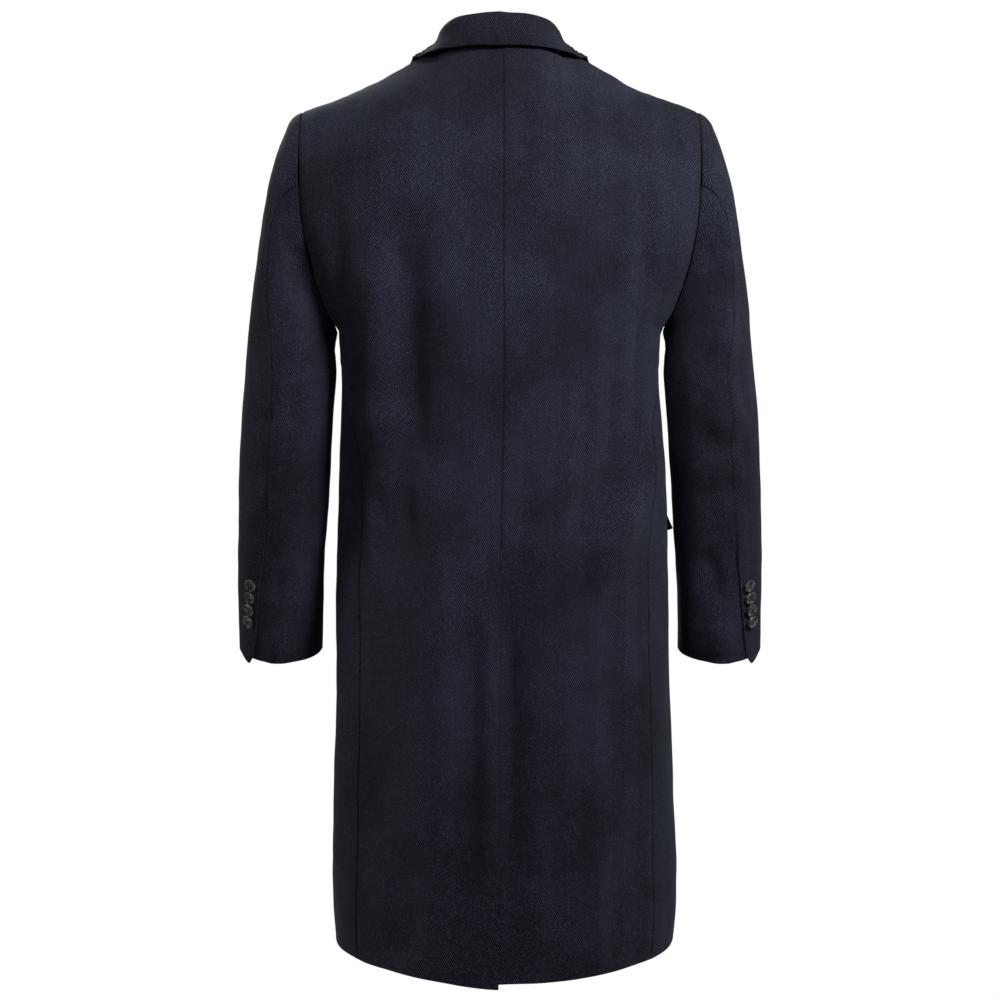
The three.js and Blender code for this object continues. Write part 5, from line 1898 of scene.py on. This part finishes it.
@dataclass
class Studio:
    """Pale floor, soft lamps and the camera.

    Attributes:
        distance: from the camera to the plane of the shoulders.
        height: height of the camera.
        span: width of the picture at that plane.
        floor: height of the floor.
        ambient: light that comes from all round.
    """

    distance: float = 2.5
    height: float = -0.529
    span: float = 1.17
    floor: float = -1.30
    ambient: float = 0.062
    lamps: Sequence[Lamp] = (
        Lamp("key", (-1.12, 1.5, 0.75), (-0.05, 0.0, -0.3), 0.65, 4.4, 64.0),
        Lamp("fill", (1.0, 1.8, 0.6), (0.1, 0.0, -0.12), 0.9, 0.55, 55.0),
        Lamp("front", (0.9, -2.2, 1.1), (0.0, 0.0, -0.45), 1.2, 40.0),
        Lamp("side_left", (3.0, -0.9, 0.2), (0.0, 0.0, -0.45), 1.0, 22.0),
        Lamp("side_right", (-3.0, -0.9, 0.2), (0.0, 0.0, -0.45), 1.0, 9.0),
    )

    def camera(self) -> None:
        """Sets up the camera behind the coat, as in the photograph."""
        data = bpy.data.cameras.new("camera")
        data.sensor_width = 36.0
        data.lens = data.sensor_width * self.distance / self.span
        camera = bpy.data.objects.new("camera", data)
        camera.location = (0.0, self.distance, self.height)
        camera.rotation_euler = (math.pi / 2, 0.0, math.pi)
        bpy.context.scene.collection.objects.link(camera)
        bpy.context.scene.camera = camera

    def light(self) -> None:
        """Hangs the lamps."""
        for lamp in self.lamps:
            data = bpy.data.lights.new(lamp.name, "AREA")
            data.size, data.energy, data.spread = lamp.size, lamp.power, math.radians(lamp.spread)
            light = bpy.data.objects.new(lamp.name, data)
            light.location = lamp.place
            aim = Vector(lamp.aim) - Vector(lamp.place)
            light.rotation_euler = aim.to_track_quat("-Z", "Y").to_euler()
            bpy.context.scene.collection.objects.link(light)

    def surround(self) -> None:
        """Lights the room evenly and keeps it white behind the coat."""
        world = bpy.data.worlds.new("studio")
        world.use_nodes = True
        bpy.context.scene.world = world
        nodes = Nodes(world.node_tree)
        plain = world.node_tree.nodes["Background"]
        plain.inputs["Strength"].default_value = self.ambient
        plain.inputs["Color"].default_value = (1, 1, 1, 1)
        white = nodes.add("ShaderNodeBackground")
        white.inputs["Color"].default_value = (1, 1, 1, 1)
        seen = nodes.add("ShaderNodeLightPath").outputs["Is Camera Ray"]
        both = nodes.add("ShaderNodeMixShader")
        for socket, value in zip(both.inputs, (seen, plain.outputs[0], white.outputs[0])):
            nodes.put(socket, value)
        nodes.put(world.node_tree.nodes["World Output"].inputs["Surface"], both.outputs[0])

    def ground(self) -> None:
        """Lays the floor, which fades into the white of the room."""
        deselect()
        bpy.ops.mesh.primitive_circle_add(vertices=96, radius=0.8, fill_type="NGON",
                                          location=(0, 0, self.floor))
        floor = bpy.context.active_object
        floor.name = "floor"
        material, nodes, shader = new_material("pale_floor")
        place = nodes.add("ShaderNodeTexCoord").outputs["Object"]
        far = nodes.add("ShaderNodeVectorMath", operation="LENGTH")
        nodes.put(far.inputs[0], place)
        grain = nodes.math("MULTIPLY_ADD", nodes.noise(place, 60.0), 0.02, 0.86)
        tone = nodes.add("ShaderNodeCombineColor")
        for socket in tone.inputs[:3]:
            nodes.put(socket, grain)
        nodes.put(shader.inputs["Base Color"], tone.outputs[0])
        nodes.put(shader.inputs["Alpha"], nodes.ramp(far.outputs["Value"], 0.78, 0.25))
        seen = nodes.add("ShaderNodeLightPath").outputs["Is Camera Ray"]
        shader.inputs["Emission Color"].default_value = (1, 1, 1, 1)
        nodes.put(shader.inputs["Emission Strength"], nodes.math("MULTIPLY", seen, 0.6))
        shader.inputs["Roughness"].default_value = 0.9
        floor.data.materials.append(material)

    def build(self) -> None:
        """Sets up the whole studio."""
        self.camera()
        self.light()
        self.surround()
        self.ground()
        bpy.context.scene.view_settings.view_transform = "Standard"


def main() -> None:
    """Builds the coat piece by piece in the studio."""
    logging.basicConfig(level=logging.INFO, format="%(message)s")
    Studio().build()
    finishes = Finishes.build()
    creases = Creases()
    body, sleeve = BodyForm(), SleeveForm()
    collar = Collar(body)
    pieces = []
    for side in Side:
        pieces += [Back(body).cloth(side), Front(body).cloth(side)]
        arm = Sleeve(sleeve, side)
        pieces += [arm.top(), arm.under(), Lapel(body, side).cloth(), PocketFlap(body, side).cloth()]
    pieces += [collar.stand(), collar.fall()]
    # The fall takes the darker wool with its painted shade, the stand its undercollar cloth.
    other = {"collar_fall_cloth": finishes.collar, "collar_stand_cloth": finishes.under}
    for cloth in pieces:
        cloth.crease(creases)
        cloth.make(other.get(cloth.name, finishes.wool))
    Buttons(body, sleeve, finishes).build()
    LOG.info("%d pieces of cloth", len(pieces))
    bpy.context.view_layer.update()


if __name__ == "__main__":
    main()
